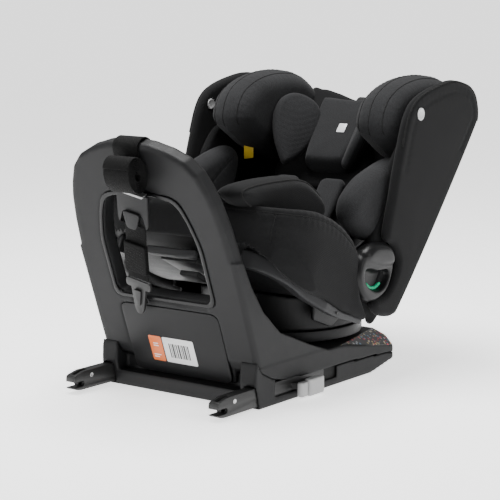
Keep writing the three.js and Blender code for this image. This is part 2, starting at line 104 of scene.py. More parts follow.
# ---- curves ----
def catmull(points, count, closed=True):
    """A smooth curve through the points, evenly spaced along its length."""
    p = np.asarray(points, float)
    n = len(p)
    rows = range(n) if closed else range(n - 1)
    fine = []
    for i in rows:
        a, b, c, d = (p[(i + k) % n] if closed else p[min(max(i + k, 0), n - 1)] for k in (-1, 0, 1, 2))
        t = np.linspace(0, 1, 24, endpoint=False)[:, None]
        fine.append(0.5 * (2 * b + (c - a) * t + (2 * a - 5 * b + 4 * c - d) * t ** 2
                           + (3 * b - a - 3 * c + d) * t ** 3))
    fine = np.concatenate(fine + [p[:1] if closed else p[-1:]])
    length = np.concatenate([[0], np.cumsum(np.linalg.norm(np.diff(fine, axis=0), axis=1))])
    at = np.linspace(0, length[-1], count + (1 if closed else 0))
    even = np.stack([np.interp(at, length, fine[:, k]) for k in range(p.shape[1])], -1)
    return even[:-1] if closed else even


def rounded(points, radius, steps=6):
    """A polygon with its corners turned into short curves."""
    p = np.asarray(points, float)
    out = []
    for i, corner in enumerate(p):
        before, after = p[i - 1], p[(i + 1) % len(p)]
        back = min(radius, np.linalg.norm(before - corner) / 2.05, np.linalg.norm(after - corner) / 2.05)
        a = corner + (before - corner) / np.linalg.norm(before - corner) * back
        b = corner + (after - corner) / np.linalg.norm(after - corner) * back
        t = np.linspace(0, 1, steps)[:, None]
        out.append((1 - t) ** 2 * a + 2 * t * (1 - t) * corner + t ** 2 * b)
    return np.concatenate(out)


def oblong(low, high, radius, steps=6):
    """A rectangle with rounded corners; low and high are opposite corners."""
    (x0, y0), (x1, y1) = low, high
    return rounded([(x0, y0), (x1, y0), (x1, y1), (x0, y1)], radius, steps)


# ---- meshes ----
def placed(name, data):
    """A new object in the scene."""
    obj = bpy.data.objects.new(name, data)
    bpy.context.scene.collection.objects.link(obj)
    return obj


def modify(obj, kind, **settings):
    """Adds a modifier with its settings."""
    modifier = obj.modifiers.new(kind.lower(), kind)
    for setting, value in settings.items():
        setattr(modifier, setting, value)
    return modifier


def new_object(name, verts, faces, smooth=True):
    mesh = bpy.data.meshes.new(name)
    mesh.from_pydata((np.asarray(verts, float) * MM).tolist(), [], [tuple(int(i) for i in f) for f in faces])
    mesh.validate()
    obj = placed(name, mesh)
    outward(obj)
    if smooth:
        mesh.shade_smooth()
    return obj


def outward(obj):
    """Merges doubles and turns every face outwards."""
    bm = bmesh.new()
    bm.from_mesh(obj.data)
    bmesh.ops.remove_doubles(bm, verts=bm.verts, dist=1e-6)
    bmesh.ops.recalc_face_normals(bm, faces=bm.faces)
    bm.to_mesh(obj.data)
    bm.free()


def bake(obj):
    """Turns the object and its modifiers into a plain mesh."""
    bpy.context.view_layer.update()
    graph = bpy.context.evaluated_depsgraph_get()
    mesh = bpy.data.meshes.new_from_object(obj.evaluated_get(graph))
    old = obj.data
    obj.modifiers.clear()
    obj.data = mesh
    if isinstance(old, bpy.types.Mesh):
        bpy.data.meshes.remove(old)
    return obj


def loft(name, rings, closed_ends=True, smooth=True):
    """Skins rings of points; each ring is closed, and so are the two ends."""
    rings = np.asarray(rings, float)
    count, around = rings.shape[:2]
    verts = rings.reshape(-1, 3)
    faces = [(k * around + i, k * around + (i + 1) % around, (k + 1) * around + (i + 1) % around,
              (k + 1) * around + i)
             for k in range(count - 1) for i in range(around)]
    if closed_ends:
        last = (count - 1) * around
        faces += [tuple(range(around))[::-1], tuple(range(last, last + around))]
    return new_object(name, verts, faces, smooth)


def plate(name, outline, to_world, low, high, edge=2.0, steps=4, hole=None):
    """A flat moulding: an outline, a thickness and softly rounded edges.

    A hole needs as many points as the outline."""
    loop = np.asarray(outline, float)
    turns = np.linspace(0, math.pi / 2, steps + 1)
    levels = [(low + edge * (1 - math.cos(a)), edge * (1 - math.sin(a))) for a in turns]
    levels += [(high - edge * (1 - math.cos(a)), edge * (1 - math.sin(a))) for a in turns[::-1]]
    rings = [(inset(loop, shrink), level) for level, shrink in levels]
    if hole is None:
        return loft(name, [to_world(r[:, 0], r[:, 1], np.full(len(r), w)) for r, w in rings])
    inner = [(inset(np.asarray(hole, float), -shrink), level) for level, shrink in levels][::-1]
    ring_points = [to_world(r[:, 0], r[:, 1], np.full(len(r), w)) for r, w in rings + inner]
    ring_points.append(ring_points[0])
    return loft(name, ring_points, closed_ends=False)


def inset(loop, amount):
    """Moves a closed outline inwards, along its own normals."""
    if not amount:
        return loop
    tangent = np.roll(loop, -1, 0) - np.roll(loop, 1, 0)
    tangent /= np.maximum(np.linalg.norm(tangent, axis=1), 1e-9)[:, None]
    normal = np.stack([-tangent[:, 1], tangent[:, 0]], -1)
    x, y = loop.T
    turning = np.sum(x * np.roll(y, -1) - np.roll(x, -1) * y)
    return loop + normal * amount * (1 if turning > 0 else -1)


def inside(loop, points):
    """Which points lie in the closed outline."""
    x, y = points.T
    hit = np.zeros(len(points), bool)
    for (x0, y0), (x1, y1) in zip(loop, np.roll(loop, -1, 0)):
        crosses = (y0 > y) != (y1 > y)
        hit ^= crosses & (x < (x1 - x0) * (y - y0) / (y1 - y0 if y1 != y0 else 1e-9) + x0)
    return hit


def from_outline(loop, points):
    """How far each point is from the outline."""
    near = np.full(len(points), 1e9)
    for start, end in zip(loop, np.roll(loop, -1, 0)):
        run = end - start
        t = np.clip(((points - start) @ run) / max(run @ run, 1e-12), 0, 1)
        near = np.minimum(near, np.linalg.norm(points - start - t[:, None] * run, axis=1))
    return near


def pillow(name, outline, to_world, middle, half, edge, crown=0.0, pitch=4.0, back_half=None):
    """A stuffed panel of any outline: rounded over a width of edge, and crowned on both faces."""
    length = np.linalg.norm(np.diff(np.asarray(outline, float), axis=0, append=[outline[0]]), axis=1).sum()
    loop = catmull(outline, max(40, int(length / pitch)))
    low, high = loop.min(0), loop.max(0)
    columns, rows = (np.arange(low[k] + pitch / 2, high[k], pitch) for k in (0, 1))
    field = np.stack(np.meshgrid(columns, rows), -1).reshape(-1, 2)
    field = field[inside(loop, field)]
    field = field[from_outline(loop, field) > edge + pitch * 0.5]
    sets = [loop]
    for share in (0.04, 0.14, 0.3, 0.5, 0.74, 1.0):
        row = inset(loop, edge * share)
        row = row[inside(loop, row)]
        sets.append(row[from_outline(loop, row) > edge * share * 0.8])
    points = np.concatenate(sets + [field])
    count = len(loop)
    edges = [(i, (i + 1) % count) for i in range(count)]
    flat, _, faces, _, _, _ = delaunay_2d_cdt([Vector(p) for p in points], edges, [], 1, 1e-4)
    flat = np.array(flat)
    gap = from_outline(loop, flat)
    inward = np.clip(gap / edge, 0, 1)
    lift = np.sqrt(1 - (1 - inward) ** 2)
    swell = crown * np.sin(np.clip(gap / max(gap.max(), edge), 0, 1) * math.pi / 2)
    top = to_world(flat[:, 0], flat[:, 1], middle + half * lift + swell)
    under = to_world(flat[:, 0], flat[:, 1],
                     middle - (half if back_half is None else back_half) * lift - swell)
    total = len(flat)
    faces = [tuple(f) for f in faces] + [tuple(i + total for i in reversed(f)) for f in faces]
    return new_object(name, np.concatenate([top, under]), faces)


def tube(name, path, radius, closed=False, sides=10, flat=None, up=None):
    """A cord along a path. flat=(half width, half thickness) makes it a band instead, lying square to up."""
    p = np.asarray(path, float)
    tangent = (np.roll(p, -1, 0) - np.roll(p, 1, 0)) if closed else np.gradient(p, axis=0)
    tangent /= np.maximum(np.linalg.norm(tangent, axis=1), 1e-9)[:, None]
    normal = np.asarray(up if up is not None else (0.31, 0.2, 0.93), float)
    normal = np.broadcast_to(normal, p.shape)
    across = np.cross(tangent, normal)
    across /= np.maximum(np.linalg.norm(across, axis=1), 1e-9)[:, None]
    normal = np.cross(across, tangent)
    half_width, half_thick = flat or (radius, radius)
    turn = np.arange(sides) * 2 * math.pi / sides
    if flat:
        cos, sin = np.cos(turn), np.sin(turn)
        u, v = np.sign(cos) * np.abs(cos) ** 0.3, np.sign(sin) * np.abs(sin) ** 0.6
    else:
        u, v = np.cos(turn), np.sin(turn)
    rings = p[:, None] + across[:, None] * (u * half_width)[None,
                                                         :,
                                                         None] + normal[:, None] * (v * half_thick)[None, :,
                                                                                                    None]
    if closed:
        rings = np.concatenate([rings, rings[:1]])
    return loft(name, rings, closed_ends=not closed)


def block(name, low, high, to_world=in_world, edge=1.5):
    """A moulded block with rounded edges, given by two corners."""
    outline = oblong(low[:2], high[:2], max(edge * 2, 1.0), 5)
    return plate(name, outline, to_world, low[2], high[2], edge)


def join(name, *pieces):
    """Several meshes as one object."""
    bm = bmesh.new()
    for piece in pieces:
        bm.from_mesh(piece.data)
        bpy.data.objects.remove(piece)
    mesh = bpy.data.meshes.new(name)
    bm.to_mesh(mesh)
    bm.free()
    obj = placed(name, mesh)
    mesh.shade_smooth()
    return obj


def fuse(obj, voxel=2.4, smooth=6, factor=0.5):
    """One skin over overlapping mouldings, with its inner corners filled and its edges eased."""
    modify(obj, "REMESH", mode="VOXEL", voxel_size=voxel * MM)
    modify(obj, "SMOOTH", iterations=smooth, factor=factor)
    bake(obj)
    obj.data.shade_smooth()
    return obj


def carve(obj, cutter):
    """Cuts one shape out of a piece."""
    modify(obj, "BOOLEAN", operation="DIFFERENCE", solver="EXACT", object=cutter)
    bake(obj)
    bpy.data.objects.remove(cutter)
    obj.data.shade_smooth()
    return obj


def surface(obj):
    return BVHTree.FromObject(obj, bpy.context.evaluated_depsgraph_get())


def laid_on(obj, path, lift=0.0):
    """The path, moved to the nearest places on the piece and lifted off it; in millimetres."""
    tree = surface(obj)
    out = []
    for point in np.asarray(path, float):
        spot, normal, _, _ = tree.find_nearest(Vector(point * MM))
        out.append(np.array(spot + normal * lift * MM) / MM)
    return np.array(out)


def seam(obj, path, depth=1.6, width=2.6, pucker=0.35, pitch=13.0):
    """Draws the cover in along a sewn line, with small puckers beside it."""
    path = laid_on(obj, path)
    mesh = obj.data
    count = len(mesh.vertices)
    co = np.empty(count * 3)
    mesh.vertices.foreach_get("co", co)
    co = co.reshape(-1, 3) / MM
    normal = np.empty(count * 3)
    mesh.vertices.foreach_get("normal", normal)
    normal = normal.reshape(-1, 3)
    start, end = path[:-1], path[1:]
    run = end - start
    lengths = np.maximum(np.linalg.norm(run, axis=1), 1e-6)
    along = np.concatenate([[0], np.cumsum(lengths)])[:-1]
    near = np.full(count, 1e9)
    place = np.zeros(count)
    for a, r, size, offset in zip(start, run, lengths, along):
        t = np.clip(((co - a) @ r) / size ** 2, 0, 1)
        gap = np.linalg.norm(co - a - t[:, None] * r, axis=1)
        closer = gap < near
        near[closer] = gap[closer]
        place[closer] = offset + t[closer] * size
    draw = -depth * np.exp(-(near / width) ** 2)
    draw += pucker * np.sin(place * 2 * math.pi / pitch) * np.exp(-((near
                                                                     - 2.2 * width) / (2.4 * width)) ** 2)
    co = (co + normal * draw[:, None]) * MM
    mesh.vertices.foreach_set("co", co.ravel())
    mesh.update()
    return path


def piping(name, obj, path, radius=1.5, closed=False, lift=0.3):
    return tube(name, laid_on(obj, path, lift), radius, closed=closed, sides=8)


def inflate(pieces, pressure=4.0, steps=16, reach=6.0, voxel=5.0):
    """Blows the closed covers up a little as cloth, all in one run, and holds each point to a short reach."""
    before = {}
    for obj in pieces:
        modify(obj, "REMESH", mode="VOXEL", voxel_size=voxel * MM)
        bake(obj)
        before[obj] = np.array([v.co for v in obj.data.vertices])
        cloth = obj.modifiers.new("cloth", "CLOTH")
        cloth.settings.use_pressure = True
        cloth.settings.uniform_pressure_force = pressure
        cloth.settings.tension_stiffness = 30
        cloth.settings.compression_stiffness = 30
        cloth.settings.quality = 5
        cloth.settings.effector_weights.gravity = 0
        cloth.point_cache.frame_end = steps
    for step in range(1, steps + 1):
        bpy.context.scene.frame_set(step)
    for obj in pieces:
        bake(obj)
        co = np.array([v.co for v in obj.data.vertices])
        move = co - before[obj]
        size = np.maximum(np.linalg.norm(move, axis=1), 1e-9)
        co = before[obj] + move * np.minimum(1, reach * MM / size)[:, None]
        obj.data.vertices.foreach_set("co", co.ravel())
        modify(obj, "SUBSURF", levels=1, render_levels=1)
        bake(obj)
        obj.data.shade_smooth()
    bpy.context.scene.frame_set(1)


# ---- materials ----
class Value:
    """A shader socket; arithmetic on it adds Math nodes."""

    def __init__(self, finish, socket):
        self.finish = finish
        self.socket = socket

    def math(self, operation, *others):
        return self.finish.node("ShaderNodeMath", {"operation": operation}, *others)

    def __add__(self, other):
        return self.math("ADD", self, other)

    def __sub__(self, other):
        return self.math("SUBTRACT", self, other)

    def __rsub__(self, other):
        return self.math("SUBTRACT", other, self)

    def __mul__(self, other):
        return self.math("MULTIPLY", self, other)

    def above(self, edge):
        return self.math("GREATER_THAN", self, edge)

    __radd__ = __add__
    __rmul__ = __mul__


class Finish:
    """A material built from one Principled shader."""

    def __init__(self, name, **uniform):
        self.material = bpy.data.materials.new(name)
        self.material.use_nodes = True
        self.tree = self.material.node_tree
        self.shader = next(n for n in self.tree.nodes if n.type == "BSDF_PRINCIPLED")
        for socket, value in uniform.items():
            self.shader.inputs[socket.replace("_", " ")].default_value = value

    def node(self, kind, settings=None, *inputs, out=0, **named):
        node = self.tree.nodes.new(kind)
        stops = (settings or {}).pop("stops", None)
        for key, value in (settings or {}).items():
            setattr(node, key, value)
        if stops:
            ramp = node.color_ramp
            while len(ramp.elements) < len(stops):
                ramp.elements.new(0.5)
            for element, (at, color) in zip(ramp.elements, stops):
                element.position = at
                element.color = color
        for key, value in list(enumerate(inputs)) + [(k.replace("_", " "), v) for k, v in named.items()]:
            if isinstance(value, Value):
                self.tree.links.new(value.socket, node.inputs[key])
            elif value is not None:
                node.inputs[key].default_value = value
        return Value(self, node.outputs[out])

    def place(self, scale=(1, 1, 1), turn=(0, 0, 0)):
        """Object coordinates, in metres, stretched and turned."""
        source = self.node("ShaderNodeTexCoord", out="Object")
        return self.node("ShaderNodeMapping", {}, source, Rotation=turn, Scale=scale)

    def noise(self, scale, detail=3.0, where=None, rough=0.5):
        return self.node("ShaderNodeTexNoise", {}, Vector=where or self.place(), Scale=scale, Detail=detail,
                         Roughness=rough)

    def mix(self, amount, first, second):
        node = self.tree.nodes.new("ShaderNodeMix")
        node.data_type = "RGBA"
        for key, value in ((0, amount), (6, first), (7, second)):
            if isinstance(value, Value):
                self.tree.links.new(value.socket, node.inputs[key])
            else:
                node.inputs[key].default_value = value
        return Value(self, node.outputs[2])

    def wear(self, socket, value):
        self.tree.links.new(value.socket, self.shader.inputs[socket])

    def bump(self, height, strength, distance):
        self.wear("Normal", self.node("ShaderNodeBump", {}, Strength=strength, Distance=distance,
                                      Height=height))


def grey(level, tint=(1.0, 1.0, 1.0)):
    return tuple(level * t for t in tint) + (1.0,)


def moulded(name, color, rough=0.5, grain=0.35, coat=0.0, variation=0.12):
    """Injection-moulded plastic: a fine spark-eroded grain, slight clouding and rub marks."""
    finish = Finish(name, Coat_Weight=coat, Coat_Roughness=0.25, Specular_IOR_Level=0.2)
    cloud = finish.noise(9.0, 4.0)
    rub = finish.noise(55.0, 5.0, rough=0.7)
    dark = tuple(c * (1 - variation) for c in color[:3]) + (1.0,)
    light = tuple(min(1.0, c * (1 + variation)) for c in color[:3]) + (1.0,)
    finish.wear("Base Color", finish.mix(cloud * 0.6 + rub * 0.4, dark, light))
    finish.wear("Roughness", rub * 0.16 + (rough - 0.08))
    spark = finish.node("ShaderNodeTexVoronoi", {"feature": "SMOOTH_F1"}, Vector=finish.place(),
                        Scale=1150.0)
    finish.bump(spark + rub * 0.5, grain, 0.00035)
    return finish.material


def knitted(name, dark, light, heather=0.25, weave=0.5, sheen=0.05):
    """A warp-knit cover: crossing yarns, a heathered mottle and a soft sheen."""
    finish = Finish(name, Sheen_Weight=sheen, Sheen_Roughness=0.5, Specular_IOR_Level=0.12)
    yarn_a = finish.node("ShaderNodeTexWave", {"bands_direction": "DIAGONAL"},
                         Vector=finish.place((1, 1, 1)), Scale=190.0, Distortion=1.5, Detail=1.0, out="Fac")
    yarn_b = finish.node("ShaderNodeTexWave", {"bands_direction": "DIAGONAL"},
                         Vector=finish.place((1, -1, 1), (0, 0, 0.2)), Scale=190.0, Distortion=1.5,
                         Detail=1.0, out="Fac")
    fleck = finish.noise(700.0, 3.0, finish.place((1.0, 1.0, 0.35), (0.7, 0.2, 0.0)), 0.65)
    broad = finish.noise(16.0, 3.0)
    tone = finish.node("ShaderNodeValToRGB",
                       {"stops": [(0.5 - heather, (0, 0, 0, 1)), (0.5 + heather, (1, 1, 1, 1))]},
                       fleck * 0.75 + broad * 0.25)
    finish.wear("Base Color", finish.mix(tone, dark, light))
    finish.wear("Roughness", fleck * 0.12 + 0.82)
    finish.bump((yarn_a + yarn_b) * 0.5 + fleck * 0.6, weave, 0.0006)
    return finish.material


def woven_band(name, color, pitch=160.0):
    """Flat webbing: a herringbone of thick yarns with a dull shine."""
    finish = Finish(name, Sheen_Weight=0.02, Sheen_Roughness=0.3, Specular_IOR_Level=0.12)
    rows = finish.node("ShaderNodeTexWave", {"bands_direction": "Z"},
                       Vector=finish.place((1, 1, 1), (0.0, 0.6, 0.0)), Scale=pitch, Distortion=0.6,
                       out="Fac")
    cross = finish.node("ShaderNodeTexWave", {"bands_direction": "Z"},
                        Vector=finish.place((1, 1, 1), (0.0, -0.6, 0.0)), Scale=pitch, Distortion=0.6,
                        out="Fac")
    fleck = finish.noise(420.0, 2.0)
    light = tuple(c * 1.9 for c in color[:3]) + (1.0,)
    finish.wear("Base Color", finish.mix(rows * cross * 0.7 + fleck * 0.3, color, light))
    finish.wear("Roughness", fleck * 0.2 + 0.6)
    finish.bump(rows + cross * 0.8, 0.6, 0.0007)
    return finish.material


def coated_steel(name, color, rough=0.32, metallic=0.75):
    """Pressed steel under black zinc: brushed, with paler worn patches."""
    finish = Finish(name, Metallic=metallic)
    brush = finish.noise(60.0, 4.0, finish.place((1.0, 0.08, 1.0)))
    patch = finish.noise(30.0, 5.0, rough=0.7)
    light = tuple(min(1.0, c * 2.2 + 0.02) for c in color[:3]) + (1.0,)
    finish.wear("Base Color", finish.mix(brush * patch, color, light))
    finish.wear("Roughness", patch * 0.25 + (rough - 0.1))
    finish.bump(brush, 0.15, 0.0002)
    return finish.material


def printed(name, color, rough=0.35):
    """A laminated sticker: even ink with a faint texture."""
    finish = Finish(name, Coat_Weight=0.3, Coat_Roughness=0.2)
    fleck = finish.noise(240.0, 2.0)
    dark = tuple(c * 0.88 for c in color[:3]) + (1.0,)
    finish.wear("Base Color", finish.mix(fleck, dark, color))
    finish.wear("Roughness", fleck * 0.1 + rough)
    return finish.material


def speckled_print(name):
    """A dark care label: rows of small coloured marks that say nothing."""
    finish = Finish(name, Coat_Weight=0.2, Coat_Roughness=0.2)
    cells = finish.node("ShaderNodeTexVoronoi", {}, Vector=finish.place(), Scale=190.0, Randomness=0.75)
    tint = finish.node("ShaderNodeTexWhiteNoise", {},
                       finish.node("ShaderNodeTexVoronoi", {}, Vector=finish.place(), Scale=190.0,
                                   Randomness=0.75, out="Position"))
    ink = finish.node("ShaderNodeValToRGB",
                      {"stops": [(0.0, (0.5, 0.5, 0.5, 1)), (0.45, (0.55, 0.4, 0.08, 1)),
                                 (0.62, (0.5, 0.5, 0.5, 1)), (0.8, (0.1, 0.25, 0.4, 1)),
                                 (0.9, (0.6, 0.03, 0.05, 1))]}, tint)
    mark = (1 - cells.above(0.4)) * tint.above(0.2)
    finish.wear("Base Color", finish.mix(mark, grey(0.005), ink))
    finish.wear("Roughness", mark * 0.1 + 0.3)
    return finish.material


COOL = (1.0, 1.01, 1.06)
M = {"base_plastic": moulded("base_plastic", grey(0.0095, COOL), 0.52),
     "trim_plastic": moulded("trim_plastic", grey(0.009, COOL), 0.45),
     # painted shade: a darker plastic for parts that sit in shadow, the bearing race and the plates in the
     # arm slots
     "painted_shade_plastic": moulded("shadowed_plastic", grey(0.006), 0.6),
     "gloss_trim": moulded("gloss_trim", grey(0.005, COOL), 0.3, grain=0.05, coat=0.12),
     "grey_plastic": moulded("grey_plastic", grey(0.018, COOL), 0.48),
     "guide_plastic": moulded("guide_plastic", grey(0.006, COOL), 0.34),
     "light_plastic": moulded("light_plastic", grey(0.4), 0.4, variation=0.05),
     "green_plastic": moulded("green_plastic", (0.012, 0.42, 0.2, 1.0), 0.35),
     "red_plastic": moulded("red_plastic", (0.42, 0.015, 0.02, 1.0), 0.3),
     "dark_steel": coated_steel("dark_steel", grey(0.012), 0.42, 0.3),
     "worn_steel": coated_steel("worn_steel", grey(0.2), 0.35),
     "bright_steel": coated_steel("bright_steel", grey(0.42), 0.3, 1.0),
     "webbing": woven_band("webbing", grey(0.002)),
     "thread": knitted("thread", grey(0.03), grey(0.06), weave=0.3),
     "dark_fabric": knitted("dark_fabric", grey(0.0035, COOL), grey(0.009, COOL)),
     "mid_fabric": knitted("mid_fabric", grey(0.01, COOL), grey(0.03, COOL), heather=0.22),
     "piping": knitted("piping", grey(0.006), grey(0.012), weave=0.4),
     "grey_fabric": knitted("grey_fabric", grey(0.01, COOL), grey(0.026, COOL), heather=0.2),
     "white_label": printed("white_label", grey(0.75)),
     "orange_label": printed("orange_label", (0.72, 0.14, 0.015, 1.0)),
     "black_label": printed("black_label", grey(0.008)),
     "yellow_label": printed("yellow_label", (0.75, 0.5, 0.02, 1.0)),
     "care_print": speckled_print("care_print"), "badge": printed("badge", grey(0.6))}


def dress(obj, material, body, replaces=()):
    """Gives a finished piece its material, its body and the CAD nodes that it stands for."""
    obj.data.materials.clear()
    obj.data.materials.append(M[material])
    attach(obj, body)
    if replaces:
        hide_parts(*replaces)
    return obj


# ---- repeated details ----
def row_group():
    """Geometry nodes: short pieces of thread, laid end to end along a line."""
    group = bpy.data.node_groups.new("row_of_stitches", "GeometryNodeTree")
    face = group.interface
    face.new_socket("Line", in_out="INPUT", socket_type="NodeSocketGeometry")
    face.new_socket("Stitches", in_out="OUTPUT", socket_type="NodeSocketGeometry")
    for name, kind in (("Pitch", "Float"), ("Length", "Float"), ("Thickness", "Float"),
                       ("Thread", "Material")):
        face.new_socket(name, in_out="INPUT", socket_type="NodeSocket" + kind)
    add, link = group.nodes.new, group.links.new
    start, end = add("NodeGroupInput"), add("NodeGroupOutput")
    curve = add("GeometryNodeMeshToCurve")
    even = add("GeometryNodeResampleCurve")
    even.mode = "LENGTH"
    spots = add("GeometryNodeCurveToPoints")
    spots.mode = "EVALUATED"
    bead = add("GeometryNodeMeshUVSphere")
    bead.inputs["Segments"].default_value = 6
    bead.inputs["Rings"].default_value = 5
    bead.inputs["Radius"].default_value = 0.5
    size = add("ShaderNodeCombineXYZ")
    place = add("GeometryNodeInstanceOnPoints")
    real = add("GeometryNodeRealizeInstances")
    smooth = add("GeometryNodeSetShadeSmooth")
    paint = add("GeometryNodeSetMaterial")
    link(start.outputs["Line"], curve.inputs[0])
    link(curve.outputs[0], even.inputs["Curve"])
    link(start.outputs["Pitch"], even.inputs["Length"])
    link(even.outputs[0], spots.inputs["Curve"])
    link(spots.outputs["Points"], place.inputs["Points"])
    link(spots.outputs["Rotation"], place.inputs["Rotation"])
    link(bead.outputs["Mesh"], place.inputs["Instance"])
    for axis, name in (("X", "Thickness"), ("Y", "Thickness"), ("Z", "Length")):
        link(start.outputs[name], size.inputs[axis])
    link(size.outputs[0], place.inputs["Scale"])
    link(place.outputs[0], real.inputs[0])
    link(real.outputs[0], smooth.inputs[0])
    link(smooth.outputs[0], paint.inputs["Geometry"])
    link(start.outputs["Thread"], paint.inputs["Material"])
    link(paint.outputs[0], end.inputs["Stitches"])
    return group


ROW = row_group()
sewn = {}


def stitches(path, body, material="thread", pitch=3.4, length=2.5, thick=0.55):
    """Adds a sewn line to a body's stitching; all of a body's lines become one mesh."""
    points = np.asarray(path, float)
    mesh = bpy.data.meshes.new("line")
    mesh.from_pydata((points * MM).tolist(), [(i, i + 1) for i in range(len(points) - 1)], [])
    obj = placed("line", mesh)
    row = obj.modifiers.new("row", "NODES")
    row.node_group = ROW
    values = {"Pitch": pitch * MM, "Length": length * MM, "Thickness": thick * MM, "Thread": M[material]}
    for item in ROW.interface.items_tree:
        if item.in_out == "INPUT" and item.name in values:
            row[item.identifier] = values[item.name]
    sewn.setdefault((body, material), []).append(bake(obj))


def finish_stitching():
    for (body, material), lines in sewn.items():
        done = join(f"stitching_{body}_{material}", *lines)
        dress(done, material, body)


def sewn_seam(obj, path, body, depth=1.6, width=2.6, offset=2.6, sides=(-1, 1), count=90, closed=False):
    """A seam with a row of topstitching beside it."""
    line = catmull(path, count, closed)
    if closed:
        line = np.concatenate([line, line[:1]])
    line = seam(obj, line, depth, width)
    tree = surface(obj)
    tangent = np.gradient(line, axis=0)
    for side in sides:
        row = []
        for point, way in zip(line, tangent):
            _, normal, _, _ = tree.find_nearest(Vector(point * MM))
            across = np.cross(way / max(np.linalg.norm(way), 1e-9), np.array(normal))
            row.append(point + across * offset * side)
        stitches(laid_on(obj, row, 0.15), body)
    return line


# ---- mouldings taken from the CAD's own solids ----
def copy_of(name, *nodes):
    pieces = []
    for node in nodes:
        copy = frame["nodes"][node].copy()
        copy.data = copy.data.copy()
        copy.parent = None
        copy.matrix_world = Matrix.Identity(4)
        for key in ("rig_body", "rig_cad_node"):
            if key in copy:
                del copy[key]
        bpy.context.scene.collection.objects.link(copy)
        outward(copy)
        pieces.append(copy)
    return join(name, *pieces)


def moulding(name, nodes, voxel=2.2, smooth=6, keep=1.0):
    """The solids with their edges eased and their inner corners filled, as a mould leaves them."""
    obj = fuse(copy_of(name, *nodes), voxel, smooth)
    if keep < 1:
        modify(obj, "DECIMATE", ratio=keep)
        bake(obj)
        obj.data.shade_smooth()
    return obj


def eased(name, nodes, width=0.7, segments=2, sharp=32):
    """The solids with a small round on every sharp edge."""
    obj = copy_of(name, *nodes)
    bm = bmesh.new()
    bm.from_mesh(obj.data)
    bmesh.ops.remove_doubles(bm, verts=bm.verts, dist=1e-6)
    bmesh.ops.dissolve_limit(bm, angle_limit=math.radians(1), verts=bm.verts, edges=bm.edges)
    bm.to_mesh(obj.data)
    bm.free()
    modify(obj, "BEVEL", width=width * MM, segments=segments, limit_method="ANGLE",
           angle_limit=math.radians(28))
    bake(obj)
    obj.data.shade_smooth()
    obj.data.set_sharp_from_angle(angle=math.radians(sharp))
    return obj


def cast(name, node, material, body, slot, *sizes, way=eased):
    """One of the CAD's solids, finished in the given way and dressed in place of its node."""
    return dress(way(name, [node], *sizes), material, body, [node])


# ---- camera, floor and light ----
def look(position, azimuth, down, lens):
    camera = bpy.data.cameras.new("camera")
    camera.lens = lens
    camera.sensor_width = 36.0
    camera.clip_end = 500.0
    obj = placed("camera", camera)
    obj.location = Vector(position) * MM
    obj.rotation_euler = (math.radians(90 - down), 0, math.radians(azimuth))
    bpy.context.scene.camera = obj


def lamp(name, place, target, size, power, color=(1, 1, 1)):
    light = bpy.data.lights.new(name, "AREA")
    light.shape = "DISK"
    light.size = size
    light.energy = power
    light.color = color
    obj = placed(name, light)
    obj.location = place
    obj.rotation_euler = (Vector(target) - Vector(place)).to_track_quat("-Z", "Y").to_euler()


look((1598, -2204, 626), azimuth=37.0, down=9.05, lens=120.96)

bpy.ops.mesh.primitive_plane_add(size=400, location=(0, 0, -0.0005))
floor = bpy.context.object
floor.name = "floor"
paper = Finish("paper", Specular_IOR_Level=0.1, Emission_Color=(1, 1, 1, 1), Emission_Strength=1.5)
paper.wear("Base Color", paper.mix(paper.noise(3.0), grey(0.93), grey(0.96)))
paper.wear("Roughness", paper.noise(3.0) * 0.1 + 0.85)
floor.data.materials.append(paper.material)

world = bpy.data.worlds.new("studio")
world.use_nodes = True
background = next(n for n in world.node_tree.nodes if n.type == "BACKGROUND")
background.inputs["Color"].default_value = (1, 1, 1, 1)
background.inputs["Strength"].default_value = 0.38
bpy.context.scene.world = world
lamp("overhead", (-0.2, -0.1, 2.0), (0, -0.05, 0.2), size=1.3, power=66)
lamp("right_bank", (2.2, -0.2, 1.2), (0, -0.1, 0.25), size=1.0, power=14)
lamp("left_bank", (-1.5, -2.2, 1.3), (0, -0.1, 0.25), size=1.0, power=20)


# ---- the base ----
def settle_panel(obj):
    """Brings the rebound panel's rim to its finished height and its sides flush with the cheeks."""
    sin, cos = math.sin(PANEL_LEAN), math.cos(PANEL_LEAN)
    rim_start, rim_share, cheek_top, corner_radius = 250, 0.06, 62, 8
    for v in obj.data.vertices:
        x, y, z = v.co / MM
        drop = max(0.0, (z - PANEL_FOOT[1]) * cos - (y - PANEL_FOOT[0]) * sin - rim_start) * rim_share
        behind = max(0.0, (y - PANEL_FOOT[0]) * cos + (z - PANEL_FOOT[1]) * sin)
        corner = corner_radius - math.sqrt(corner_radius ** 2
                                           - (corner_radius - min(behind, corner_radius)) ** 2)
        side = 151.4 - corner if z > cheek_top else BASE_HALF
        v.co = Vector((min(max(x, -side), side), y + drop * sin, z - drop * cos)) * MM
    return obj


upper = settle_panel(moulding("base_upper", ["base_shell"], 2.4, 5, 0.5))


def clear_tunnels(obj):
    """Opens the two tunnels that the anchor arms slide in to their full size again."""
    for sign in SIDES.values():
        carve(obj, block("tunnel", (sign * ARM_MIDDLE - 10.4, -290, 2.9),
                         (sign * ARM_MIDDLE + 10.4, 62, 34.6), edge=0.4))


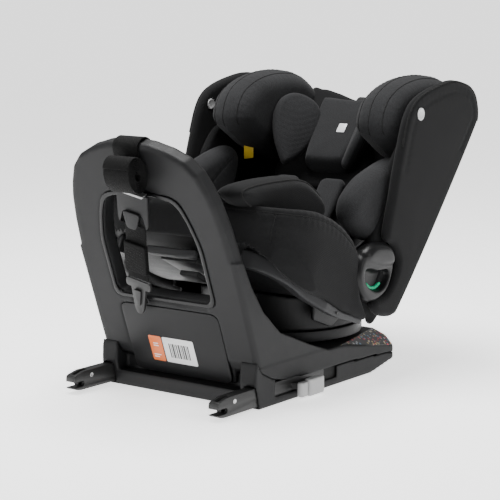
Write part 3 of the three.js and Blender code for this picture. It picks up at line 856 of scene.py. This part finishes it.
clear_tunnels(upper)
dress(upper, "base_plastic", "base", ["base_shell"])
lower = moulding("base_lower", ["base_tray"], 2.4, 3, 0.5)
for v in lower.data.vertices:
    v.co.z += 0.7 * MM * min(1.0, max(0.0, v.co.z / MM - 14) / 6)
clear_tunnels(lower)
dress(lower, "base_plastic", "base", ["base_tray"])
cast("base_rear_cover", "rear_cover", "trim_plastic", "base", "trim_plastic", 1.2, 3)
cast("opening_lip", "opening_bezel", "gloss_trim", "base", "trim_plastic", 1.2, 4, way=moulding)
# The bearing race takes the painted-shade plastic, for the shadow under the turntable.
cast("bearing_race", "bearing_ring", "painted_shade_plastic", "base", "trim_plastic", 0.6)


def on_arc(x, degrees, up):
    """x across, degrees along the seat pan from straight below the recline line, up from its inner face."""
    turn = np.radians(degrees)
    radius = PAN_RADIUS - np.asarray(up, float)
    return np.stack(np.broadcast_arrays(x, PIVOT[0] - radius * np.sin(turn),
                                        PIVOT[1] - radius * np.cos(turn)), -1)


def on_tether(x, y, z):
    """The hanging half of the tether, which leans to one side of the panel."""
    lean = math.radians(13)
    x, y, z = np.broadcast_arrays(x, y, z)
    return on_panel(-3 + x * math.cos(lean) + z * math.sin(lean), y - 9,
                    242 - x * math.sin(lean) + z * math.cos(lean))


def band(name, path, low, high, thick, to_world=on_panel):
    """Webbing whose width lies in x, along a path given in y and z."""
    p = np.asarray(path, float)
    tangent = np.gradient(p, axis=0)
    tangent /= np.maximum(np.linalg.norm(tangent, axis=1), 1e-9)[:, None]
    normal = np.stack([-tangent[:, 1], tangent[:, 0]], -1)
    ring = [(low + 1.2, 1), (high - 1.2, 1), (high, 0.4), (high, -0.4), (high - 1.2, -1), (low + 1.2, -1),
            (low, -0.4), (low, 0.4)]
    rings = []
    for point, way in zip(p, normal):
        spots = np.array([(x, *(point + way * side * thick / 2)) for x, side in ring])
        rings.append(to_world(spots[:, 0], spots[:, 1], spots[:, 2]))
    return loft(name, rings)


# ---- stickers, and plates of painted shade in the arm slots ----
def sticker(name, low, high, to_world, level, corner=3.0):
    """A flat label; low and high are opposite corners."""
    return plate(name, oblong(low, high, corner, 5), to_world, level - 0.15, level + 0.15, 0.1, 2)


def on_cover(x, z, y):
    """The panel's outer face, for outlines drawn in x and z."""
    return on_panel(x, y, z)


dress(sticker("rear_label_orange", (-54, -28), (-29, 16), on_cover, 0.0), "orange_label", "base")
dress(sticker("rear_label_white", (-27, -28), (34, 16), on_cover, 0.0), "white_label", "base")
bars = [block("bar", (x, -19, -0.4), (x + w, 6, -0.1), on_cover, 0.05)
        for x, w in ((-16, 2), (-12, 1), (-9.5, 3), (-5, 1), (-2, 2), (2, 3), (7, 1), (9.5, 2), (13, 3),
                     (18, 1), (20.5, 2))]
dress(join("rear_label_bars", *bars), "black_label", "base")
lines = [block("line", (x, z, -0.4), (x + w, z + 1.6, -0.1), on_cover, 0.05)
         for x, z, w in ((-50, -18, 14), (-50, -22, 10), (-47, 2, 10), (-47, -2, 10))]
dress(join("rear_label_lines", *lines), "white_label", "base")


def deck_label(count=44, rows=16):
    """The care sticker on the slope at the side of the deck, laid on the moulding."""
    rings = []
    for y in np.linspace(-44, 128, count):
        share = (y + 60) / 215
        last = np.interp(y, (-44, 0, 40, 95, 128), (0.2, 0.8, 0.96, 0.97, 0.9))
        t = np.linspace(0.03, last, rows)
        edge = min(153.0, 174 * math.sqrt(max(0.0, 1 - max(0.0, (y - 78) / 62) ** 2)) - 3)
        rings.append(in_world(np.minimum(153 - 53 * share * (1 - t), edge), y, 61 - 34 * share * t))
    grid = laid_on(upper, np.concatenate(rings), 0.5).reshape(count, rows, 3)
    faces = [(i * rows + j, (i + 1) * rows + j, (i + 1) * rows + j + 1, i * rows + j + 1)
             for i in range(count - 1) for j in range(rows - 1)]
    label = new_object("care_label", grid.reshape(-1, 3), faces)
    modify(label, "SOLIDIFY", thickness=0.3 * MM)
    return bake(label)


dress(deck_label(), "care_print", "base")
# Dark plates inside the arm slots: painted shade in the recesses that the anchor arms slide into.
for side, sign in SIDES.items():
    dress(block(f"arm_slot_shade_plate_{side}", (sign * 147.2 - 1, -205, 8.5), (sign * 147.2 + 1, -42, 32),
                edge=0.5), "painted_shade_plastic", "base")

# ---- turntable and cradle ----
cast("swivel_disc", "turntable", "trim_plastic", "turntable", "trim_plastic", 1.2, 3)


def drum(radius, low, high):
    turn = np.linspace(0, 2 * math.pi, 97)[:-1]
    steps = [(low, radius - 2), (low + 2, radius), (high - 2, radius), (high, radius - 2)]
    return loft("drum", [in_world(r * np.cos(turn), r * np.sin(turn), z) for z, r in steps])


def arc_bar(half_width, inner, outer, first, last):
    """A bar that curves round the recline line."""
    angles = np.radians(np.linspace(first, last, 60))
    rings = [[(x, PIVOT[0] - r * math.sin(a), PIVOT[1] - r * math.cos(a))
              for x, r in ((-half_width, inner), (half_width, inner), (half_width, outer),
                           (-half_width, outer))]
             for a in angles]
    return loft("bar", rings, smooth=False)


cradle = drum(131.0, 82.4, 168.0)
carve(cradle, arc_bar(160.0, 20.0, 242.0, -80, 80))
carve(cradle, arc_bar(42.0, 200.0, 268.0, 8, 60))
carve(cradle, block("notch", (-140, 46, 118), (140, 140, 200), edge=1.0))
dress(fuse(cradle, 2.4, 5), "trim_plastic", "turntable",
      ["cradle_rail_left", "cradle_rail_right"])

# ---- the seat shell ----
back_line = rounded([(-191, 104), (187, 104), (187, 412), (-187, 412)], 26)
dress(plate("shell_back", back_line, on_back, -21.5, -16.5, 2.0), "grey_plastic", "shell",
      ["back_cover"])
ribs = [block("rib", (x - 2, 122, -24.5), (x + 2, 398, -20.5), on_back, 1.2) for x in range(-150, 151, 30)]
ribs += [block("rib", (-158, s, -24.5), (158, s + 4, -20.5), on_back, 1.2) for s in (120, 256, 396)]
dress(join("shell_back_ribs", *ribs), "grey_plastic", "shell")
SKIRT_TOP = [(42, 8), (58, 21), (76, 36), (86, 58), (94, 78), (108, 95), (130, 106), (160, 112), (190, 113),
             (227, 109), (260, 101), (295, 90), (320, 82), (330, 80)]
SKIRT_BOTTOM = [(42, -1), (104, -9), (205, -6), (262, 6), (290, 14), (311, 20), (330, 22)]
SWEPT = [(0, 205), (90, 212), (96, 222), (109, 246), (147, 262), (188, 283), (216, 295), (250, 304),
         (300, 314), (350, 330), (400, 346)]


def within_sweep(obj, inset_by=0.6):
    """Keeps the seat's front inside the circle that it needs to turn in."""
    heights, radii = np.array(SWEPT, float).T
    for v in obj.data.vertices:
        x, y, z = v.co / MM
        limit = np.interp(z, heights, radii) - inset_by
        reach = math.hypot(x, y)
        if reach > limit:
            v.co.x *= limit / reach
            v.co.y *= limit / reach
    obj.data.update()
    return obj


def skirt_station(t):
    """Half of the skirt's plan: t runs from 0 at its rear end to 1 at the middle of its front."""
    straight, corner = SKIRT_CORNER - SKIRT_REAR, 250.0
    run = t * (straight + corner)
    if run < straight:
        return SKIRT_HALF, SKIRT_REAR + run, 0.0
    turn = (run - straight) / corner * math.pi / 2
    power = 2 / 3.0
    deep = SKIRT_NOSE - SKIRT_CORNER
    return SKIRT_HALF * abs(math.cos(turn)) ** power, SKIRT_CORNER + deep * abs(math.sin(turn)) ** power, turn


def skirt_half(last=1.0, strip=False):
    """The skirt's stations from one rear end to the middle of its front, or those of the strip below it."""
    half = []
    for t in np.linspace(0, last, 90):
        x, f, turn = skirt_station(t)
        top = np.interp(f, *np.array(SKIRT_TOP, float).T)
        low = np.interp(f, *np.array(SKIRT_BOTTOM, float).T)
        front = math.sin(turn)
        thick = 56 * (1 - front) + 33 * front
        under = 6 + 26 * math.sin(2 * turn) + 14 * front
        over = 5.0
        tall = top - low
        section = rounded([(-under, low), (-under * 0.35, low + 0.45 * tall), (0, low + 0.72 * tall),
                           (-over, top), (-thick, top - 3),
                           (-thick, low + min(6, tall / 3))], min(14, tall * 0.45), 7)
        if strip:
            drop = np.interp(t, (0, 0.15, 0.4, last), (6, 9, 17, 26))
            section = rounded([(-under - 1, low + 3), (-under - 3, low - drop),
                               (-under - 26, low - drop + 3), (-under - 26, low + 3)], 3, 4)
        half.append((x, f, turn, section))
    rings = []
    plan = np.array([(x, f) for x, f, _, _ in half])
    way = np.gradient(plan, axis=0)
    way /= np.linalg.norm(way, axis=1)[:, None]
    out = np.stack([way[:, 1], -way[:, 0]], -1)
    if last == 1.0:
        out[-1] = (0, 1)
    for (x, f, _, section), normal in zip(half, out):
        offset, height = section.T
        rings.append(on_seat(x + offset * normal[0], f + offset * normal[1], height))
    return rings


def skirt_rings():
    right = skirt_half()
    left = [ring * (-1, 1, 1) for ring in right[:-1]]
    return right + left[::-1]


def strip_rings(inset_by=3.0):
    """The strip's sections, each moved in as a whole where the seat's turning circle needs it."""
    heights, radii = np.array(SWEPT, float).T
    rings = []
    for ring in skirt_half(0.8, strip=True):
        reach = np.hypot(ring[:, 0], ring[:, 1])
        over = max(0.0, float((reach - np.interp(ring[:, 2], heights, radii)).max() + inset_by))
        inward = ring[:, :2].mean(axis=0)
        inward /= np.linalg.norm(inward)
        rings.append(ring - over * np.array([*inward, 0.0]))
    return rings


def skirt_line(spots, below_top):
    """A line along the skirt's outer face, a little below its top edge."""
    points = []
    for t in spots:
        x, f, _ = skirt_station(t)
        points.append(on_seat(x, f, np.interp(f, *np.array(SKIRT_TOP, float).T) - below_top))
    return np.array(points).reshape(-1, 3)


def skirt_rise(t, count=40):
    """A line up the skirt's outer face, where its side panel meets its front."""
    x, f, _ = skirt_station(t)
    low = np.interp(f, *np.array(SKIRT_BOTTOM, float).T)
    top = np.interp(f, *np.array(SKIRT_TOP, float).T)
    return np.array([on_seat(x, f, h) for h in np.linspace(low + 6, top - 12, count)]).reshape(-1, 3)


pan = moulding("shell_pan", ["seat_pan"], 2.4, 4, 0.5)
for sign in SIDES.values():
    near, far = sorted((sign * 140, sign * 260))
    carve(pan, block("wall_front", (near, -460, 60), (far, -96, 420), edge=0.5))
for v in pan.data.vertices:
    if abs(v.co.x) > 130 * MM and v.co.z < 130 * MM:
        v.co.x *= 0.9
within_sweep(pan, 7)
# The pan is dressed in the black trim plastic rather than grey: painted shade, for the shadow it lies in
# below the strip.
dress(pan, "trim_plastic", "shell", ["seat_pan"])
bucket = arc_bar(152.0, 218.0, 229.0, -28, 38)
bucket.name = "bucket_liner"
dress(bucket, "dark_fabric", "shell")
skirt = within_sweep(fuse(loft("skirt_cover", skirt_rings()), 3.0, 4))
dress(skirt, "dark_fabric", "shell", ["seat_side_left", "seat_side_right", "seat_front"])

WING = [(34, -12), (60, -19), (205, -24), (395, -24), (428, -18), (447, 6), (450, 30), (442, 54), (420, 90),
        (380, 126), (345, 150), (318, 160), (290, 158), (255, 146), (215, 130), (175, 112), (140, 98),
        (116, 84), (119, 58), (108, 31), (80, 22), (54, 25), (36, 36), (24, 47), (14, 44), (11, 28), (19, 8)]
GUIDE = [(91, 105), (113, 72), (112, 48), (86, 29), (52, 26), (21, 47), (14, 75), (23, 101), (43, 115),
         (66, 116)]
HORN = [(58, 106), (68, 117), (92, 106), (114, 72), (112, 48), (98, 38), (84, 50), (70, 74)]
POCKET = [(46, 100), (58, 88), (66, 70), (82, 48), (78, 37), (62, 35), (44, 44), (33, 64), (33, 88)]
HEAD_WING = [(269, 104), (266, 134), (274, 156), (300, 169), (332, 168), (374, 146), (416, 106), (448, 56),
             (456, 8), (450, -12), (320, -14), (290, 26), (275, 66)]
TORSO = [(104, 138), (116, 156), (140, 163), (180, 153), (222, 128), (252, 104), (262, 86), (252, 64),
         (215, 48), (172, 46), (126, 62), (106, 92)]
THIGH = [(-268, 300), (-290, 318), (-284, 333), (-250, 338), (-200, 339), (-145, 336), (-108, 322),
         (-74, 292), (-82, 262), (-150, 250), (-225, 262), (-252, 284)]
LEAF = [(60, -20), (64, 2), (57, 26), (36, 41), (4, 41), (-30, 26), (-58, 4), (-70, -12), (-54, -26),
        (-20, -38), (14, -42), (44, -36)]


def outline_line(outline, amount, start, end, to_world, level, count=120):
    """Part of an outline, moved inwards: a line to sew along. start and end are shares of the way round."""
    loop = catmull(inset(catmull(outline, 240), amount), 240)
    at = (np.linspace(start, end, count) * 240).astype(int) % 240
    return to_world(loop[at, 0], loop[at, 1], np.full(count, level))


for side, sign in SIDES.items():
    def across(s, d, x, sign=sign):
        return on_back(x * sign, s, d)

    wing = pillow(f"wing_cover_{side}", WING, across, 208, 8.5, 9, 1.5, 4.5)
    dress(wing, "dark_fabric", "shell", [f"wing_{side}"])
    seam(wing, outline_line(WING, 20, 0.30, 0.66, across, 217), 1.2, 2.4)
    dress(piping(f"wing_piping_{side}", wing, outline_line(WING, 1.5, 0.36, 0.66, across, 214)), "piping",
          "shell")

    liner = pillow(f"side_liner_{side}",
                   [(14, 0), (120, -8), (300, -10), (300, 100), (240, 120), (170, 96), (120, 92), (60, 84),
                    (26, 68), (12, 48), (8, 18)], across, 189, 8, 8, 0, 5.0)
    dress(liner, "dark_fabric", "shell")
    filler = pillow(f"back_liner_{side}", [(146, 80), (192, 80), (192, 330), (146, 330)],
                    lambda x, s, d: on_back(x * sign, s, d), -8, 10, 6, 0, 6.0)
    dress(filler, "dark_fabric", "shell")
    heel = pillow(f"heel_pad_{side}",
                  [(42, 0), (70, -10), (130, -13), (200, -10), (205, 30), (130, 56), (70, 52), (44, 42),
                   (34, 24)], across, 181, 21, 7, 0, 4.5)
    dress(heel, "dark_fabric", "shell")

    head = pillow(f"head_wing_cover_{side}", HEAD_WING, across, 149 if sign > 0 else 143, 40, 30, 2, 4.0)
    dress(head, "mid_fabric", "headrest", [f"headrest_wing_{side}"])
    for place, level in enumerate((118, 146, 171)):
        seam(head, outline_line(HEAD_WING, 1, 0.06, 0.64, across, level), 1.4, 3.0)
        dress(piping(f"head_wing_seam_{side}_{place}", head,
                     outline_line(HEAD_WING, 1, 0.06, 0.64, across, level), 0.75,
                     lift=0.1), "piping", "headrest")
    torso = pillow(f"torso_bolster_cover_{side}", TORSO, across, 168, 21, 18, 3, 3.5)
    dress(torso, "mid_fabric", "shell", [f"torso_bolster_{side}"])
    sewn_seam(torso, [on_back(sign * 147, s, d) for s, d in ((112, 110), (160, 112), (215, 98), (256, 82))],
              "shell")

    def inward(s, v, w, sign=sign):
        yaw = math.radians(41)
        return on_back(sign * (70 + v * math.sin(yaw) + w * math.cos(yaw)), 324 + s,
                       68 + v * math.cos(yaw) - w * math.sin(yaw))

    leaf = pillow(f"head_insert_cover_{side}", LEAF, inward, 0, 9, 9, 3, 3.0)
    dress(leaf, "mid_fabric", "headrest", [f"headrest_insert_{side}"])
    dress(piping(f"head_insert_seam_{side}", leaf, outline_line(LEAF, 4, 0.0, 0.99, inward, 9), 0.8, True,
                 0.1), "piping", "headrest")

    def upright(y, z, x, sign=sign):
        return in_world(x * sign, y, z)

    thigh = within_sweep(pillow(f"thigh_bolster_cover_{side}", THIGH, upright, 116, 29, 17, 2, 3.5))
    dress(piping(f"thigh_piping_{side}", thigh, outline_line(THIGH, 2, 0.0, 0.5, upright, 140), 1.5),
          "piping", "shell")
    dress(thigh, "dark_fabric", "shell", [f"thigh_bolster_{side}"])

    def facing(x, s, d, sign=sign):
        return on_back(46 * sign + x, 176 + s, 52 + d)

    pad = pillow(f"shoulder_pad_cover_{side}", oblong((-24, -60), (24, 60), 14), facing, 0, 6.5, 7, 0.8, 3.0)
    dress(pad, "mid_fabric", "shell", [f"shoulder_pad_{side}"])
    cast(f"hip_webbing_{side}", f"hip_strap_{side}", "webbing", "shell", "webbing", 0.5)
    rim = pillow("rim", GUIDE, across, 200, 12.5, 6, 0, 3.0)
    horn = pillow("horn", HORN, across, 204, 13, 11, 1, 3.0)
    guide = fuse(join(f"belt_guide_rim_{side}", rim, horn), 1.5, 3)
    carve(guide, pillow("pocket", POCKET, across, 215, 16, 7, 0, 3.0))
    guide = fuse(guide, 1.5, 5)
    dress(guide, "guide_plastic", "shell", [f"belt_guide_{side}"])
    mark = catmull([(38, 72), (40, 58), (48, 46), (60, 40)], 30, False)
    dress(tube(f"belt_guide_mark_{side}", across(mark[:, 0], mark[:, 1], 200.5), 3.2), "green_plastic",
          "shell")

    strip = fuse(loft("strip", [ring * (sign, 1, 1) for ring in strip_rings()]), 2.0, 3)
    strip.name = f"edge_trim_{side}"
    dress(strip, "grey_plastic", "shell", [f"shell_edge_{side}"])
    for name, line in (("hem", skirt_line(np.linspace(0.2, 0.97, 120), 11)), ("join", skirt_rise(0.66))):
        line = line * (sign, 1, 1)
        dress(piping(f"skirt_{name}_{side}", skirt, seam(skirt, line, 1.2, 3.0), 0.75, lift=0.1), "piping",
              "shell")


HEAD_CENTRE = [(-60, 402), (-50, 412), (0, 409), (50, 412), (60, 402), (58, 360), (51, 315), (44, 282),
               (36, 272), (0, 270), (-36, 272), (-44, 282), (-51, 315), (-58, 360)]
centre = pillow("head_centre_cover", HEAD_CENTRE, on_back, 24, 24, 14, 3, 3.5)
dress(centre, "grey_fabric", "headrest", ["headrest_centre"])
HEAD_BACK = [(-122, 440), (-95, 451), (-60, 444), (0, 428), (60, 444), (95, 451), (122, 440), (122, 300),
             (100, 250), (0, 243), (-100, 250), (-122, 300)]
head_back = pillow("head_back_cover", HEAD_BACK, on_back, 2, 10, 9, 3, 4.0)
dress(head_back, "dark_fabric", "headrest", ["headrest_frame"])

SEAT_CUSHION = oblong((-86, 4), (86, 50), 12)
cushion = pillow("seat_cushion_cover", [(x, (f - 27) * 4.0) for x, f in SEAT_CUSHION],
                 lambda x, a, up: on_arc(x, 27 + a / 4.0, up), 13, 12.5, 16, 5, 4.0)
dress(cushion, "mid_fabric", "shell", ["seat_cushion"])
rest = pillow("back_cushion_cover", oblong((-88, 62), (88, 232), 16), on_back, 12, 18, 18, 4, 4.0)
dress(rest, "mid_fabric", "shell", ["back_cushion"])
inflate([cushion, rest], steps=16, reach=5.0)


def standing(x, z, y):
    """A plate that stands up from the seat, leaning with the buckle; its middle is the crotch pad's."""
    lean = math.radians(12)
    return in_world(x, -138.9 + z * math.sin(lean) - y * math.cos(lean),
                    227.6 + z * math.cos(lean) + y * math.sin(lean))


crotch = pillow("crotch_pad_cover", oblong((-27, -27), (27, 27), 12), standing, 0, 4.5, 6, 1.0, 3.0)
dress(crotch, "dark_fabric", "shell", ["crotch_pad"])
cast("buckle_case", "buckle_body", "trim_plastic", "shell", "trim_plastic", 1.1, 5, way=moulding)
cast("buckle_press", "buckle_button", "red_plastic", "buckle_button", "red_plastic", 1.2, 3)
cast("adjuster_case", "adjuster_housing", "trim_plastic", "shell", "trim_plastic", 1.5, 3)
cast("adjuster_press", "adjuster_button", "grey_plastic", "harness_button", "grey_plastic", 1.0, 3)
cast("handle_bracket", "handle_guide", "trim_plastic", "shell", "base_plastic", 1.2, 3)
cast("recline_grip", "recline_handle", "grey_plastic", "recline_handle", "grey_plastic", 1.1, 5,
     way=moulding)
cast("swivel_press", "swivel_lever", "grey_plastic", "swivel_lever", "grey_plastic", 1.2, 3)
grip_line = rounded([(-34, 420), (34, 420), (30, 449.5), (-30, 449.5)], 6)
dress(plate("headrest_grip", grip_line, on_back, -18.5, -8.5, 2.6), "trim_plastic", "headrest_handle",
      ["headrest_handle"])

# ---- the top tether ----
over_rim = catmull([(30, 312), (30.5, 328), (28, 338), (19, 344.5), (8, 344.5), (0, 340), (-2.4, 330),
                    (-2.4, 300), (-7, 276)], 90, False)
dress(band("tether_webbing_upper", over_rim, -24, 24, 2.0), "webbing", "base",
      ["tether_strap_upper"])
turns = np.linspace(0, 7.4 * 2 * math.pi, 190)
wound = 7 + 2.6 * turns / 2 / math.pi
coil = np.stack([-25 + 0.78 * wound * np.cos(turns), 304 + 1.06 * wound * np.sin(turns)], -1)
dress(band("tether_spare_roll", coil, -15, 34, 2.1), "webbing", "base", ["tether_roll"])
dress(band("tether_webbing_lower", [(-2.5, z) for z in np.linspace(-122, 4, 36)], -19, 19, 2.0, on_tether),
      "webbing", "base", ["tether_strap_lower"])


def facing_tether(x, z, y):
    """The hanging tether, for outlines drawn in x and z."""
    return on_tether(x, y, z)


buckle = rounded([(-29, 31), (29, 31), (28, -22), (23, -28), (17, -6), (-17, -6), (-23, -28), (-28, -22)], 4)
dress(plate("tether_buckle", buckle, facing_tether, -7.4, -1.4, 1.6), "trim_plastic", "base",
      ["tether_adjuster"])
lip = rounded([(-28, 28.5), (24, 28.5), (25, 33), (-29, 33)], 2)
dress(plate("tether_buckle_lip", lip, facing_tether, -13, -0.8, 1.2), "worn_steel", "base")
fold = rounded([(-20, -58), (20, -58), (21, -108), (-20, -108)], 4)
dress(plate("tether_sewn_end", fold, facing_tether, -9, -0.5, 2.0), "webbing", "base")
for z in np.linspace(-66, -101, 8):
    stitches(facing_tether(np.linspace(-14, 14, 12), z + np.linspace(3, -3, 12), -9.1), "base")
cast("tether_tab", "adjuster_lever", "trim_plastic", "adjuster_lever", "dark_steel", 0.8)
cast("tether_clip", "tether_hook", "dark_steel", "base", "dark_steel", 0.8)
cast("tether_clip_gate", "hook_gate", "dark_steel", "hook_gate", "dark_steel", 0.5)

# ---- the lower anchors ----
for side, sign in SIDES.items():
    cast(f"anchor_arm_{side}", f"isofix_arm_{side}", "dark_steel", f"isofix_{side}", "dark_steel", 0.7)
    near, far = sorted((sign * 161.3, sign * 174.0))
    dress(block(f"anchor_grip_{side}", (near, -161.8, 3.6), (far, -122, 30), edge=2.6), "light_plastic",
          f"isofix_{side}", [f"isofix_grip_{side}"])
    near, far = sorted((sign * 161.3, sign * 172.5))
    dress(block(f"anchor_trigger_{side}", (near, -181, 5), (far, -163.4, 27.6), edge=2.6), "light_plastic",
          f"trigger_{side}", [f"isofix_trigger_{side}"])
    cast(f"anchor_latch_{side}", f"isofix_latch_{side}", "dark_steel", f"latch_{side}", "dark_steel", 0.5)


# ---- badges, tabs and fixings ----
def badge(name, middle, body, normal, radius=10.0, material="badge"):
    """A small disc with a sunk middle: a badge, or the head of a rivet or a screw."""
    spot = np.asarray(middle, float)
    n = np.asarray(normal, float)
    a = np.cross(n, (0, 0, 1.0))
    a /= np.linalg.norm(a)
    b = np.cross(n, a)
    turn = np.linspace(0, 2 * math.pi, 33)[:-1]
    rings = [spot + n * lift + (a[None] * np.cos(turn)[:, None] + b[None] * np.sin(turn)[:, None]) * r
             for lift, r in ((-0.6, radius), (0.3, radius), (0.7, radius - 0.5), (0.7, radius * 0.74),
                             (0.35, radius * 0.7), (0.35, radius * 0.3))]
    return dress(loft(name, rings), material, body)


badge("wing_badge_right", on_back(217.6, 318, 136)[None][0], "shell", (1, 0, 0))
badge("wing_badge_left", on_back(-198.6, 312, 141)[None][0], "shell", (1, 0, 0), 9.0)
for sign, side in ((1, "right"), (-1, "left")):
    badge(f"anchor_rivet_{side}", (149.0 * sign, -318, 24.5), f"isofix_{side}", (sign, 0, 0), 3.6,
          "bright_steel")
    badge(f"anchor_rivet_inner_{side}", (131.3 * sign, -318, 24.5), f"isofix_{side}", (-sign, 0, 0), 3.6,
          "bright_steel")


def far_tag(u, v, w):
    """The care tag that hangs inside the far bolster, turned towards the seat's front corner."""
    return in_world(-138 + 0.8 * u - 0.6 * w, 96 + 0.6 * u + 0.8 * w, 338 + v)


dress(plate("care_tag", rounded([(-8, -12), (8, -10), (8, 11), (-8, 12)], 1.5), far_tag, -0.6, 0.6, 0.3, 2),
      "yellow_label", "shell")
for sign, side in ((1, "right"), (-1, "left")):
    badge(f"trim_screw_{side}", (201.6 * sign, -131, 131.5), "shell", (sign, 0, 0), 2.6, "dark_steel")
tab = oblong((6, 331), (22, 349), 2)
dress(plate("headrest_tab", tab, on_back, 50.6, 51.6, 0.4, 2), "white_label", "headrest")
finish_stitching()
